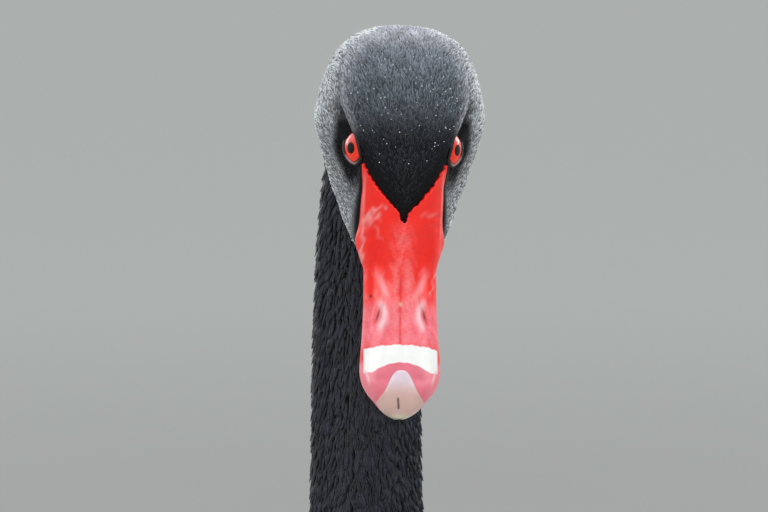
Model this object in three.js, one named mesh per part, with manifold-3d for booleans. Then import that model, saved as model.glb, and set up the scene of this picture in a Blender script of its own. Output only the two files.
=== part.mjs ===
// A life-size black swan at rest on its belly, as it floats, with its neck raised and its bill bowed.
// Millimetres, +Z up. The bird faces -Y and its left side is +X.
import * as THREE from "three";
import { mergeVertices } from "three/addons/utils/BufferGeometryUtils.js";
import Module from "manifold-3d";

const wasm = await Module();
wasm.setup();

// Driving dimensions
const GAP = 0.35; // left between neighbouring solids
const TORSO_FRONT = -255;
const TORSO_BACK = 278;
const TORSO_NOSE = 62; // length over which the breast rounds off
const TORSO_RUMP = 46;
const BELLY_FLAT = 0; // the floor
const EYE_HEIGHT = 640; // above the floor
const EYE_MIDDLE = new THREE.Vector3(11, -215, EYE_HEIGHT);
const BILL_PITCH = 70; // degrees below level
const HEAD_YAW = 4.6;
const HEAD_ROLL = 1.6;
const SKULL_BACK = -50.5; // along the head's own axis, from the eyes
const CHIN_END = 37;
const BILL_TIP = 96.8;
const EYE_RADIUS = 7.4;
const EYE_ASIDE = 14.2;
const EYE_UP = 0.5;
const TAIL_FEATHERS = 12;
const TAIL_LENGTH = 110;

const radians = THREE.MathUtils.degToRad;
const { lerp, smoothstep } = THREE.MathUtils;

// Smooth curves through a few rows of sizes

// Monotone cubic through rows [t, a, b, ...]: the values a, b, ... at t.
function smooth(rows, t) {
  const last = rows.length - 1;
  const at = Math.min(Math.max(t, rows[0][0]), rows[last][0]);
  let k = 0;
  while (k < last - 1 && at >= rows[k + 1][0]) k++;
  const slope = (i, c) => (rows[i + 1][c] - rows[i][c]) / (rows[i + 1][0] - rows[i][0]);
  const tangent = (i, c) => {
    if (i === 0) return slope(0, c);
    if (i === last) return slope(last - 1, c);
    const before = slope(i - 1, c);
    const after = slope(i, c);
    return before * after > 0 ? (2 * before * after) / (before + after) : 0;
  };
  const width = rows[k + 1][0] - rows[k][0];
  const u = (at - rows[k][0]) / width;
  return rows[k].slice(1).map((_, n) => {
    const c = n + 1;
    return (
      (2 * u ** 3 - 3 * u ** 2 + 1) * rows[k][c] +
      (u ** 3 - 2 * u ** 2 + u) * width * tangent(k, c) +
      (-2 * u ** 3 + 3 * u ** 2) * rows[k + 1][c] +
      (u ** 3 - u ** 2) * width * tangent(k + 1, c)
    );
  });
}

// 1 well inside an end, falling to 0 at it as an ellipse does, or more squarely at a higher power.
function cap(distance, reach, power = 2) {
  const short = 1 - Math.min(Math.max(distance / reach, 0), 1);
  return Math.max(1 - short ** power, 0) ** (1 / power);
}

const bell = (value, centre, spread) => Math.exp(-(((value - centre) / spread) ** 2));

// A superellipse's two axes at an angle.
function rounded(angle, power) {
  const bend = (value) => Math.sign(value) * Math.abs(value) ** (2 / power);
  return [bend(Math.cos(angle)), bend(Math.sin(angle))];
}

// Closed solids from points

function solid(points, triangles) {
  const build = (faces) =>
    new wasm.Manifold(
      new wasm.Mesh({
        numProp: 3,
        vertProperties: new Float32Array(points.flatMap((p) => [p.x, p.y, p.z])),
        triVerts: new Uint32Array(faces.flat()),
      }),
    );
  const made = build(triangles);
  return made.volume() > 0 ? made : build(triangles.map(([a, b, c]) => [a, c, b]));
}

// A tube through rings of points, closed at both ends on a point.
function loft(rings, sides, pointAt, start, end) {
  const points = [];
  for (const ring of rings) {
    for (let k = 0; k < sides; k++) points.push(pointAt(ring, (2 * Math.PI * k) / sides));
  }
  points.push(start, end);
  const first = points.length - 2;
  const triangles = [];
  for (let r = 0; r < rings.length - 1; r++) {
    for (let k = 0; k < sides; k++) {
      const a = r * sides + k;
      const b = r * sides + ((k + 1) % sides);
      triangles.push([a, b, b + sides], [a, b + sides, a + sides]);
    }
  }
  for (let k = 0; k < sides; k++) {
    const next = (k + 1) % sides;
    const back = (rings.length - 1) * sides;
    triangles.push([first, next, k], [first + 1, back + k, back + next]);
  }
  return solid(points, triangles);
}

// A thick sheet: both faces are split into triangles alike, with walls round the edge.
function sheet(along, across, faceAt) {
  const wide = across + 1;
  const count = (along + 1) * wide;
  const faces = [[], []];
  for (let i = 0; i <= along; i++) {
    for (let j = 0; j <= across; j++) {
      const [upper, under] = faceAt(i / along, j / across);
      faces[0].push(upper);
      faces[1].push(under);
    }
  }
  const triangles = [];
  for (let i = 0; i < along; i++) {
    for (let j = 0; j < across; j++) {
      const a = i * wide + j;
      const c = a + wide;
      triangles.push([a, a + 1, c + 1], [a, c + 1, c]);
      triangles.push([count + a, count + c + 1, count + a + 1], [count + a, count + c, count + c + 1]);
    }
  }
  const edge = [];
  for (let j = 0; j < across; j++) edge.push(j);
  for (let i = 0; i < along; i++) edge.push(i * wide + across);
  for (let j = across; j > 0; j--) edge.push(along * wide + j);
  for (let i = along; i > 0; i--) edge.push(i * wide);
  edge.forEach((a, n) => {
    const b = edge[(n + 1) % edge.length];
    triangles.push([a, count + a, count + b], [a, count + b, b]);
  });
  return solid([...faces[0], ...faces[1]], triangles);
}

// A three.js geometry, placed by a matrix, as a solid.
function fromGeometry(geometry, matrix = new THREE.Matrix4()) {
  const plain = geometry.clone().applyMatrix4(matrix);
  plain.deleteAttribute("normal");
  plain.deleteAttribute("uv");
  const merged = mergeVertices(plain, 1e-4);
  const position = merged.attributes.position;
  const points = [];
  for (let i = 0; i < position.count; i++) points.push(new THREE.Vector3().fromBufferAttribute(position, i));
  const index = [...merged.index.array];
  const triangles = [];
  for (let i = 0; i < index.length; i += 3) {
    const face = index.slice(i, i + 3);
    if (new Set(face).size === 3) triangles.push(face);
  }
  return solid(points, triangles);
}

const union = (solids) => solids.reduce((a, b) => a.add(b));

const largest = (made) =>
  made.decompose().reduce((best, one) => (one.volume() > best.volume() ? one : best));

const mirrored = (made) => made.mirror([1, 0, 0]);

function evenly(from, to, count) {
  return Array.from({ length: count }, (_, i) => lerp(from, to, i / (count - 1)));
}

// Torso: sections across Y. Rows are y, top, waist height, belly, half width.
const TORSO = [
  [TORSO_FRONT, 168, 112, 44, 84],
  [-205, 184, 108, 24, 92],
  [-150, 198, 104, 4, 102],
  [-90, 206, 100, -4, 110],
  [-20, 210, 98, -5, 115],
  [60, 206, 98, -4, 113],
  [125, 196, 102, 8, 102],
  [185, 180, 108, 34, 82],
  [235, 160, 114, 66, 60],
  [TORSO_BACK, 142, 118, 92, 44],
];

function torsoPoint(y, angle, grow = 0) {
  const [top, waist, belly, half] = smooth(TORSO, y);
  const ends = cap(y - TORSO_FRONT + grow, TORSO_NOSE) * cap(TORSO_BACK - y + grow, TORSO_RUMP);
  const [c, s] = rounded(angle, 2.25);
  const height = s >= 0 ? top - waist : waist - belly;
  const x = (half * ends + grow) * c;
  const z = waist + (height * ends + grow) * s;
  return new THREE.Vector3(x, y, Math.max(z, BELLY_FLAT - grow));
}

function torsoSolid(rings, sides, grow = 0) {
  const front = TORSO_FRONT - grow;
  const back = TORSO_BACK + grow;
  const places = Array.from({ length: rings }, (_, i) => {
    const t = (i + 0.5) / rings;
    return lerp(front, back, (1 - Math.cos(Math.PI * t)) / 2);
  });
  const end = (y) => new THREE.Vector3(0, y, smooth(TORSO, y)[1]);
  return loft(places, sides, (y, angle) => torsoPoint(y, angle, grow), end(front), end(back));
}

// Head frame: s runs forward along the bill, x to the bird's left, h out of the crown.
const headFrame = (() => {
  const pitch = radians(BILL_PITCH);
  const forward = new THREE.Vector3(0, -Math.cos(pitch), -Math.sin(pitch));
  const crown = new THREE.Vector3(0, -Math.sin(pitch), Math.cos(pitch));
  const left = new THREE.Vector3(1, 0, 0);
  const turn = new THREE.Matrix4()
    .makeRotationY(radians(HEAD_ROLL))
    .multiply(new THREE.Matrix4().makeRotationZ(radians(HEAD_YAW)));
  return new THREE.Matrix4()
    .makeTranslation(EYE_MIDDLE.x, EYE_MIDDLE.y, EYE_MIDDLE.z)
    .multiply(turn)
    .multiply(new THREE.Matrix4().makeBasis(forward, left, crown));
})();

const inHead = (s, x, h) => new THREE.Vector3(s, x, h).applyMatrix4(headFrame);

// Skull and upper bill in one run. Rows are s, top, waist, half width, throat.
const SKULL = [
  [SKULL_BACK, 3, -10, 24, -20],
  [-38, 12.5, -9.5, 26, -27],
  [-20, 18.5, -9.5, 26.6, -32],
  [-6, 18, -9.5, 25, -34],
  [6, 14, -9.5, 20.4, -34],
  [16, 8.6, -10.5, 15.9, -33],
  [26, 3, -13, 15.1, -32],
  [36, -2.4, -15.5, 14.8, -30],
  [43, -5.6, -16.5, 13.5, -22],
  [54, -8.6, -17, 13.5, -21.5],
  [66, -10.2, -17, 14, -21],
  [80, -11.2, -17.5, 14.9, -21],
  [84, -11.6, -17.7, 14.3, -21.2],
  [88, -12.4, -18.2, 12.4, -21.6],
  [92, -14, -19, 9, -22.2],
  [BILL_TIP, -18, -21, 5.2, -24],
];
const CHEEK = { size: 6.8, s: -16, reach: 20, angle: -18, spread: 34 };
const JOWL = { size: 9.5, s: 15, reach: 18, angle: -34, spread: 27 };
const SOCKET = { size: -3.2, s: 1, reach: 9, angle: 12, spread: 20 };

// Where the feathers of the forehead, lores and chin end and the bare red bill begins.
const FOREHEAD_POINT = 26;
const LORE_TOP = [5.5, 6];
const FOREHEAD_SLANT = 0.6;
const FOREHEAD_CURVE = 0.0355;
const GAPE = [30, -17.2];
const CHIN_LINE = [39, -31];

// Millimetres in front of the line where the cheek's feathers end, seen from the side.
function pastLore(s, h) {
  const beyond = (start, end) => {
    const run = end[0] - start[0];
    const rise = end[1] - start[1];
    return ((h - start[1]) * run - (s - start[0]) * rise) / Math.hypot(run, rise);
  };
  return Math.max(beyond(LORE_TOP, GAPE), beyond(GAPE, CHIN_LINE));
}

// The section at s, at an angle from the left side up over the crown.
function skullPoint(s, angle, grow = 0) {
  const [top, waist, half, throat] = smooth(SKULL, s);
  const back = cap(s - SKULL_BACK + grow, 22, 2.6);
  const tip = cap(BILL_TIP - s + grow, 3.5);
  const [c, q] = rounded(angle, lerp(2.15, 2.6, smoothstep(-s, 12, 40)));
  const height = q >= 0 ? (top - waist) * Math.sqrt(tip) : waist - throat;
  const flat = waist + height * back * q;
  const side = Math.asin(Math.sin(angle));
  const swell = (b) => b.size * bell(s, b.s, b.reach) * bell(side, radians(b.angle), radians(b.spread));
  const jowl = swell(JOWL) * smoothstep(-pastLore(s, flat), -0.5, 4.5);
  const lift = swell(CHEEK) * back + jowl + swell(SOCKET) + grow;
  return [half * back * tip * c + Math.cos(angle) * lift, flat + Math.sin(angle) * lift];
}

function skullRun(from, to, rings, sides, grow = 0) {
  const places = evenly(from, to, rings);
  const end = (s) => inHead(s, 0, smooth(SKULL, s)[1]);
  const at = (s, angle) => {
    const [x, h] = skullPoint(s, angle, grow);
    return inHead(s, x, h);
  };
  return loft(places, sides, at, end(from - 0.3), end(to + 0.3));
}

// Lower bill: rows are s, top, bottom, half width.
const LOWER_BILL = [
  [22, -14, -31, 12.4],
  [37, -15, -30, 12.8],
  [50, -17, -27, 12.2],
  [65, -17.5, -25.2, 12.2],
  [80, -18, -24.4, 12.6],
  [88, -18.8, -24, 10.4],
  [93, -20, -23.6, 6.4],
];

function lowerBillPoint(s, angle) {
  const [top, bottom, half] = smooth(LOWER_BILL, s);
  const [c, q] = rounded(angle, 2.4);
  return inHead(s, half * c, (top + bottom) / 2 + ((top - bottom) / 2) * q);
}

// The line of the mouth, in s and h.
const MOUTH = [
  [20, -13.6],
  [30, -17.2],
  [45, -19.3],
  [60, -19.3],
  [75, -18.9],
  [88, -20],
  [104, -24.5],
];

// A prism with its outline in the head's s-h plane, as wide as the head.
function sidePrism(outline, half = 45) {
  const shape = new THREE.Shape(outline.map(([s, h]) => new THREE.Vector2(s, h)));
  const body = new THREE.ExtrudeGeometry(shape, { depth: 2 * half, bevelEnabled: false, steps: 1 });
  const stand = new THREE.Matrix4().makeBasis(
    new THREE.Vector3(1, 0, 0),
    new THREE.Vector3(0, 0, 1),
    new THREE.Vector3(0, -1, 0),
  );
  return fromGeometry(body, headFrame.clone().multiply(stand).multiply(
    new THREE.Matrix4().makeTranslation(0, 0, -half)));
}

// A prism with its outline in the head's s-x plane, as tall as the head.
function topPrism(outline, half = 70) {
  const shape = new THREE.Shape(outline.map(([s, x]) => new THREE.Vector2(s, x)));
  const body = new THREE.ExtrudeGeometry(shape, { depth: 2 * half, bevelEnabled: false, steps: 1 });
  return fromGeometry(body, headFrame.clone().multiply(new THREE.Matrix4().makeTranslation(0, 0, -half)));
}

const FAR = 130;

function bareRegion(inset) {
  const side = sidePrism([
    [LORE_TOP[0] + inset, 60],
    [LORE_TOP[0] + inset, LORE_TOP[1] + inset],
    [GAPE[0] + inset, GAPE[1] + inset],
    [CHIN_LINE[0] + inset, CHIN_LINE[1]],
    [CHIN_LINE[0] + inset, -60],
    [FAR, -60],
    [FAR, 60],
  ]);
  const edge = [-24, -16, -8, 0, 8, 16, 24].map((x) => {
    const aside = Math.abs(x);
    return [FOREHEAD_POINT + 1.4 * inset - FOREHEAD_SLANT * aside - FOREHEAD_CURVE * aside ** 2, x];
  });
  return side.intersect(topPrism([...edge, [FAR, 24], [FAR, -24]]));
}

function mouthSheet(thick) {
  const upper = MOUTH.map(([s, h]) => [s, h + thick / 2]);
  const under = MOUTH.map(([s, h]) => [s, h - thick / 2]).reverse();
  return sidePrism([...upper, ...under]);
}

function belowMouth() {
  return sidePrism([...MOUTH, [MOUTH.at(-1)[0], -60], [MOUTH[0][0], -60]]);
}

// A ball in the head frame, squashed along the head's axes and turned so that it leans along the bill.
function headBall(s, x, h, [rs, rx, rh], segments = [16, 10], lean = 0) {
  const ball = new THREE.SphereGeometry(1, segments[0], segments[1]);
  const place = headFrame
    .clone()
    .multiply(new THREE.Matrix4().makeTranslation(s, x, h))
    .multiply(new THREE.Matrix4().makeRotationZ(lean))
    .multiply(new THREE.Matrix4().makeScale(rs, rx, rh));
  return fromGeometry(ball, place);
}

// Eyes look out sideways, a little forward and up. The lid is a ring round the opening.
const GAZE = { s: 0.22, x: 0.9, h: 0.36 };
const LID = { radius: 5.5, thick: 1.15, long: 1.12, out: 5.2 };

function eyeFrame(side) {
  const gaze = new THREE.Vector3(GAZE.s, side * GAZE.x, GAZE.h).normalize();
  const along = new THREE.Vector3(1, 0, 0).addScaledVector(gaze, -gaze.x).normalize();
  const third = new THREE.Vector3().crossVectors(gaze, along);
  return headFrame
    .clone()
    .multiply(new THREE.Matrix4().makeTranslation(0, side * EYE_ASIDE, EYE_UP))
    .multiply(new THREE.Matrix4().makeBasis(along, third, gaze));
}

function eyeBall(side, grow, segments) {
  const ball = new THREE.SphereGeometry(EYE_RADIUS + grow, segments[0], segments[1]);
  return fromGeometry(ball, eyeFrame(side));
}

function lidRing(side) {
  const ring = new THREE.TorusGeometry(LID.radius, LID.thick, 6, 16);
  const place = eyeFrame(side)
    .multiply(new THREE.Matrix4().makeTranslation(0, 0, LID.out))
    .multiply(new THREE.Matrix4().makeScale(LID.long, 1, 1.2));
  return fromGeometry(ring, place);
}

function eyeOpening(side) {
  const depth = 12;
  const cone = new THREE.CylinderGeometry(LID.radius + 2.2, LID.radius - 0.9, depth, 16);
  const place = eyeFrame(side)
    .multiply(new THREE.Matrix4().makeTranslation(0, 0, 4 + depth / 2))
    .multiply(new THREE.Matrix4().makeScale(LID.long, 1, 1))
    .multiply(new THREE.Matrix4().makeRotationX(Math.PI / 2));
  return fromGeometry(cone, place);
}

// Neck: a tube along one S-curve from the breast to the nape. Rows are share of its length and radius.
const NECK_PATH = new THREE.CatmullRomCurve3(
  [
    [0, -110, 92],
    [0, -165, 132],
    [0, -197, 185],
    [-0.5, -210, 245],
    [-1.5, -197, 320],
    [-2.5, -176, 400],
    [-3, -160, 480],
    [-3, -154, 550],
    [-1.5, -155, 605],
    [1, -159, 633],
    [5, -173, 655],
    [8.5, -192, 657],
    [10.5, -206, 648],
  ].map((p) => new THREE.Vector3(...p)),
  false,
  "centripetal",
);
const NECK_RADIUS = [
  [0, 94],
  [0.07, 90],
  [0.13, 82],
  [0.2, 62],
  [0.28, 43.5],
  [0.4, 30.5],
  [0.55, 24.5],
  [0.7, 22],
  [0.84, 20.6],
  [0.93, 19],
  [1, 17],
];
const NECK_CUTS = [0.285, 0.5, 0.72, 0.935];

function neckRing(t) {
  const centre = NECK_PATH.getPointAt(t);
  const tangent = NECK_PATH.getTangentAt(t);
  const left = new THREE.Vector3(1, 0, 0).addScaledVector(tangent, -tangent.x).normalize();
  const front = new THREE.Vector3().crossVectors(tangent, left);
  return { centre, left, front, radius: smooth(NECK_RADIUS, t)[0] };
}

function neckRun(from, to, rings, sides) {
  const frames = evenly(from, to, rings).map(neckRing);
  const at = (frame, angle) =>
    frame.centre
      .clone()
      .addScaledVector(frame.left, frame.radius * Math.cos(angle))
      .addScaledVector(frame.front, frame.radius * Math.sin(angle));
  return loft(frames, sides, at, frames[0].centre, frames.at(-1).centre);
}

// Folded wings: a guide surface over the flank that every feather follows. Rows are y, top, waist, low, half width.
const WING_GUIDE = [
  [-190, 178, 128, 70, 92],
  [-140, 200, 122, 46, 112],
  [-70, 218, 116, 30, 126],
  [10, 226, 116, 26, 132],
  [90, 222, 120, 34, 126],
  [160, 210, 126, 52, 110],
  [225, 194, 134, 78, 86],
  [285, 178, 142, 104, 58],
  [345, 164, 148, 128, 34],
];
// The wing's edges on that surface, in degrees from level. Rows are y, lower edge, upper edge.
const WING_EDGE = [
  [-178, 8, 34],
  [-160, -10, 54],
  [-110, -24, 66],
  [-30, -30, 76],
  [50, -30, 82],
  [140, -24, 83],
  [210, -14, 80],
  [262, -4, 66],
];
const WING_THICK = 10;

function guidePoint(y, degrees) {
  const [top, waist, low, half] = smooth(WING_GUIDE, y);
  const [c, s] = rounded(radians(degrees), 2.1);
  return new THREE.Vector3(half * c, y, waist + (s >= 0 ? top - waist : waist - low) * s);
}

// A place on the guide with its outward direction and the direction round the section.
function guideFrame(y, degrees) {
  const step = 0.5;
  const point = guidePoint(y, degrees);
  const up = guidePoint(y, degrees + step).sub(point).normalize();
  const back = guidePoint(y + step, degrees).sub(point).normalize();
  const out = new THREE.Vector3().crossVectors(back, up).normalize();
  if (out.x < 0) out.negate();
  return { point, up, out };
}

function wingCore() {
  const [first, last] = [WING_EDGE[0][0], WING_EDGE.at(-1)[0]];
  return sheet(8, 4, (u, v) => {
    const y = lerp(first, last, u);
    const [low, high] = smooth(WING_EDGE, y);
    const { point, out } = guideFrame(y, lerp(low, high, v));
    const plump = Math.sin(Math.PI * lerp(0.08, 0.92, v)) ** 0.6 * cap(y - first + 6, 60) * lerp(1, 0.45, u);
    const depth = lerp(2.2, WING_THICK + 4, plump);
    return [point.clone().addScaledVector(out, -0.6), point.clone().addScaledVector(out, -depth)];
  });
}

// Feathers: one vane is a tapered, cambered sheet that follows the frames that frameAt gives along its shaft.
const VANE_OUTLINE = [
  [0, 0.5],
  [0.25, 0.86],
  [0.55, 1],
  [0.8, 0.86],
  [0.93, 0.52],
  [1, 0.16],
];

function vane(frameAt, width, thick, camber, root = 0, steps = 3) {
  return sheet(steps, 2, (u, v) => {
    const along = 1 - (1 - u) ** 1.25;
    const { point, up, out } = frameAt(along);
    const half = (width / 2) * smooth(VANE_OUTLINE, along)[0];
    const aside = 2 * v - 1;
    const body = lerp(thick, thick * 0.55, Math.abs(aside)) + root * Math.max(0, 1 - 1.7 * along);
    const upper = point
      .clone()
      .addScaledVector(up, half * aside)
      .addScaledVector(out, -camber * aside * aside * (half / (width / 2)));
    return [upper, upper.clone().addScaledVector(out, -body)];
  });
}

// Tiers of wing feathers, front to back. Each runs from one root to another and lies over the tier behind it.
// root and end: y and degrees; long: lengths; wide: widths; turn: change of degrees over the length; rise: lift.
const WING_TIERS = [
  { count: 5, root: [112, -4], end: [140, 34], long: [196, 176], wide: [22, 24], turn: [10, 4], rise: [-4, 0.5], curl: 0 },
  { count: 5, root: [26, -24], end: [84, 22], long: [150, 160], wide: [33, 36], turn: [5, 6], rise: [-3, 2.5], curl: 0 },
  { count: 5, root: [24, 30], end: [58, 72], long: [196, 176], wide: [44, 40], turn: [2, -4], rise: [-3, 6], curl: 13 },
  { count: 6, root: [-28, -24], end: [-4, 64], long: [98, 104], wide: [38, 42], turn: [1, 1], rise: [-3, 5], curl: 3 },
  { count: 5, root: [-76, -20], end: [-60, 60], long: [84, 90], wide: [40, 42], turn: [-1, 2], rise: [-3, 6], curl: 1 },
  { count: 4, root: [-124, -14], end: [-116, 54], long: [80, 84], wide: [42, 44], turn: [-2, 2], rise: [-3, 5.5], curl: 0 },
];

function wingVanes() {
  return WING_TIERS.flatMap((tier) =>
    Array.from({ length: tier.count }, (_, i) => {
      const share = i / (tier.count - 1);
      const long = lerp(...tier.long, share);
      const turn = lerp(...tier.turn, share);
      const y0 = lerp(tier.root[0], tier.end[0], share);
      const d0 = lerp(tier.root[1], tier.end[1], share);
      const wave = (i % 2 ? 1 : 0.6) * tier.curl;
      const frameAt = (along) => {
        const frame = guideFrame(y0 + long * along, d0 + turn * along);
        const lift = lerp(tier.rise[0], tier.rise[1], Math.min(1, 1.6 * along)) + wave * along ** 4;
        frame.point.addScaledVector(frame.out, lift);
        return frame;
      };
      return vane(frameAt, lerp(...tier.wide, share), 1.7, 1.8, 5);
    }),
  );
}

// Tail: a short stump with a fan of feathers.
const TAIL_ROOT = new THREE.Vector3(0, 250, 117);
const TAIL_SPREAD = 33; // degrees to each side

function tailStump() {
  const places = evenly(232, 290, 6);
  return loft(
    places,
    14,
    (y, angle) => {
      const u = (y - 232) / 58;
      return new THREE.Vector3(
        lerp(40, 30, u) * Math.cos(angle),
        y,
        lerp(118, 114, u) + lerp(24, 6, u) * Math.sin(angle),
      );
    },
    new THREE.Vector3(0, 231, 118),
    new THREE.Vector3(0, 291, 114),
  );
}

function tailVanes() {
  return Array.from({ length: TAIL_FEATHERS }, (_, i) => {
    const share = (2 * i) / (TAIL_FEATHERS - 1) - 1;
    const turn = radians(TAIL_SPREAD * share);
    const way = new THREE.Vector3(Math.sin(turn), Math.cos(turn), -0.1 - 0.04 * Math.abs(share)).normalize();
    const across = new THREE.Vector3(Math.cos(turn), -Math.sin(turn), 0.12 * share);
    const out = new THREE.Vector3().crossVectors(across, way).normalize();
    if (out.z < 0) out.negate();
    const up = new THREE.Vector3().crossVectors(out, way).normalize();
    const start = TAIL_ROOT.clone().add(
      new THREE.Vector3(22 * share, 0, 1.2 - 4.5 * Math.abs(share)),
    );
    const long = TAIL_LENGTH * (1 - 0.22 * share * share);
    const frameAt = (along) => ({ point: start.clone().addScaledVector(way, long * along), up, out });
    return vane(frameAt, 27, 1.6, 1.4, 3);
  });
}

// Legs folded under the flanks, the shanks along the floor and the webbed feet forward.
const HEEL = new THREE.Vector3(58, 150, 40);
const TOE_JOINT = new THREE.Vector3(80, 58, 10);
const TOES = [
  { tip: [74, -26], radius: [5.6, 3.4] },
  { tip: [98, -62], radius: [6, 3.6] },
  { tip: [126, -24], radius: [5.6, 3.4] },
];
const WEB_THICK = 2.6;
const CLAW = 9;

// A tapered limb with round ends, its underside flat on the floor.
function limb(from, to, radiusFrom, radiusTo, sides = 8, rings = 5) {
  const way = to.clone().sub(from);
  const left = new THREE.Vector3(0, 0, 1).cross(way).normalize();
  const up = way.clone().cross(left).normalize();
  const places = evenly(0.03, 0.97, rings);
  const ground = (p) => p.setZ(Math.max(p.z, 0));
  const length = way.length();
  const at = (t, angle) => {
    const radius = lerp(radiusFrom, radiusTo, t) * cap(t * length, radiusFrom) * cap((1 - t) * length, radiusTo);
    const point = from.clone().addScaledVector(way, t);
    return ground(
      point.addScaledVector(left, radius * Math.cos(angle)).addScaledVector(up, radius * Math.sin(angle)),
    );
  };
  return loft(places, sides, at, ground(from.clone()), ground(to.clone()));
}

function foot() {
  const joint = new THREE.Vector3(TOE_JOINT.x, TOE_JOINT.y - 4, 7);
  const pieces = [];
  for (const { tip, radius } of TOES) {
    const end = new THREE.Vector3(tip[0], tip[1], radius[1] - 0.3);
    const away = end.clone().sub(joint).setZ(0).normalize();
    pieces.push(limb(joint, end, radius[0], radius[1]));
    const claw = end.clone().addScaledVector(away, CLAW).setZ(1.4);
    pieces.push(limb(end.clone().addScaledVector(away, -5), claw, 2.8, 0.9, 6, 3));
  }
  for (const [a, b] of [[0, 1], [1, 2]]) {
    const left = new THREE.Vector3(TOES[a].tip[0], TOES[a].tip[1], 0);
    const right = new THREE.Vector3(TOES[b].tip[0], TOES[b].tip[1], 0);
    pieces.push(
      sheet(3, 4, (u, v) => {
        const scallop = 1 - 0.16 * Math.sin(Math.PI * v);
        const far = left.clone().lerp(right, v).sub(joint).multiplyScalar(0.96 * scallop).add(joint);
        const point = joint.clone().lerp(far, lerp(0.06, 1, u)).setZ(0);
        const fold = 0.8 * Math.sin(Math.PI * v * 3) ** 2;
        return [point.clone().setZ(WEB_THICK + fold), point];
      }),
    );
  }
  const spur = new THREE.Vector3(TOE_JOINT.x - 16, TOE_JOINT.y + 20, 4);
  pieces.push(limb(joint.clone().setZ(5), spur, 4, 2.6, 6, 3));
  return union(pieces);
}

// Materials
const paint = (color, roughness) => new THREE.MeshStandardMaterial({ color, roughness, metalness: 0 });
const plumage = paint(0x1b1c20, 0.8);
const headPlumage = paint(0x33363a, 0.85);
const redBill = paint(0xd8231a, 0.35);
const paleNail = paint(0xd9b3ad, 0.4);
const iris = paint(0xe0402c, 0.1);
const leather = paint(0x23211f, 0.6);

function meshOf(name, made, material) {
  const { numProp, vertProperties, triVerts } = made.getMesh();
  const geometry = new THREE.BufferGeometry();
  geometry.setAttribute("position", new THREE.BufferAttribute(vertProperties.slice(), numProp));
  geometry.setIndex(new THREE.BufferAttribute(triVerts.slice(), 1));
  geometry.computeVertexNormals();
  const mesh = new THREE.Mesh(geometry, material);
  mesh.name = name;
  return mesh;
}

// Assembly
const swan = new THREE.Group();
const show = (name, made, material) => swan.add(meshOf(name, largest(made), material));

const torsoGrown = torsoSolid(20, 24, GAP);
const neckBase = neckRun(0, NECK_CUTS[0], 7, 18);
show("torso", union([torsoSolid(20, 24), neckBase]), plumage);

const halfGap = GAP / 2 / NECK_PATH.getLength();
const headGrown = skullRun(SKULL_BACK + 0.2, CHIN_END, 20, 24, GAP + 0.15);
show("neck_lower", neckRun(NECK_CUTS[0] + 2 * halfGap, NECK_CUTS[1] - halfGap, 7, 18), plumage);
show("neck_middle", neckRun(NECK_CUTS[1] + halfGap, NECK_CUTS[2] - halfGap, 6, 18), plumage);
const upperRun = neckRun(NECK_CUTS[2] + halfGap, NECK_CUTS[3] - halfGap, 9, 18);
show("neck_upper", upperRun.subtract(headGrown), plumage);

const nape = neckRun(NECK_CUTS[3] + halfGap, 1, 4, 18);
const skull = skullRun(SKULL_BACK + 0.4, BILL_TIP - 0.2, 30, 24);
const lowerPlaces = evenly(22, 93, 10);
const lowerBill = loft(lowerPlaces, 14, lowerBillPoint, inHead(21.5, 0, -22), inHead(94.2, 0, -21.6));
const bare = bareRegion(GAP / 2);
const sockets = union([1, -1].map((side) => eyeBall(side, GAP, [18, 12]).add(eyeOpening(side))));
const lids = union([1, -1].map(lidRing));
show(
  "head",
  skull.add(nape).subtract(bareRegion(-GAP / 2)).add(lids).subtract(sockets),
  headPlumage,
);

const bill = skull.add(lowerBill).intersect(bare).subtract(mouthSheet(GAP + 0.1));
const underBill = belowMouth();
const nostrils = union([1, -1].map((side) => headBall(61.5, side * 9.2, -10.2, [5.2, 1.7, 3.2], [12, 8], side * 0.12)));
const nailShape = (grow) => headBall(91.5, 0, -16, [10.4 + grow, 8.3 + grow, 30], [20, 10]);
const upper = bill.subtract(underBill).subtract(nostrils).subtract(sockets).subtract(lids);
show("bill_upper", upper.subtract(nailShape(GAP)), redBill);
show("bill_nail", upper.intersect(nailShape(0)), paleNail);
show("bill_lower", bill.intersect(underBill), redBill);
show("eye_left", eyeBall(1, 0, [14, 9]), iris);
show("eye_right", eyeBall(-1, 0, [14, 9]), iris);

const wing = union([wingCore(), ...wingVanes()]).subtract(torsoGrown);
show("wing_left", wing, plumage);
show("wing_right", mirrored(wing), plumage);
show("tail", union([tailStump(), ...tailVanes()]).subtract(torsoGrown), plumage);

const leg = limb(HEEL, TOE_JOINT, 10, 7.4, 10, 6).subtract(torsoGrown);
const footGrown = limb(
  new THREE.Vector3(TOE_JOINT.x, TOE_JOINT.y - 4, 7).add(new THREE.Vector3(0, 8, 0)),
  new THREE.Vector3(TOE_JOINT.x, TOE_JOINT.y - 40, 7),
  9,
  9,
);
const webbed = foot().subtract(torsoGrown);
show("leg_left", leg.subtract(footGrown), leather);
show("leg_right", mirrored(leg.subtract(footGrown)), leather);
show("foot_left", webbed, leather);
show("foot_right", mirrored(webbed), leather);

// The origin is at the bottom centre of the whole bird's box.
const box = new THREE.Box3().setFromObject(swan);
swan.position.set(-(box.min.x + box.max.x) / 2, -(box.min.y + box.max.y) / 2, -box.min.z);
swan.updateMatrixWorld(true);

export default swan;
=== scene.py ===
"""A life-size black swan at rest, its neck raised and its bill bowed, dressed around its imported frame.

Shapes are worked out in millimetres in the bird's design frame: the middle of the body at x = 0, the floor at
z = 0, the bird facing -Y. to_frame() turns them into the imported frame's metres.
"""

import math

import bmesh
import bpy
import numpy as np
from mathutils import Matrix, Vector
from mathutils.bvhtree import BVHTree


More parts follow.
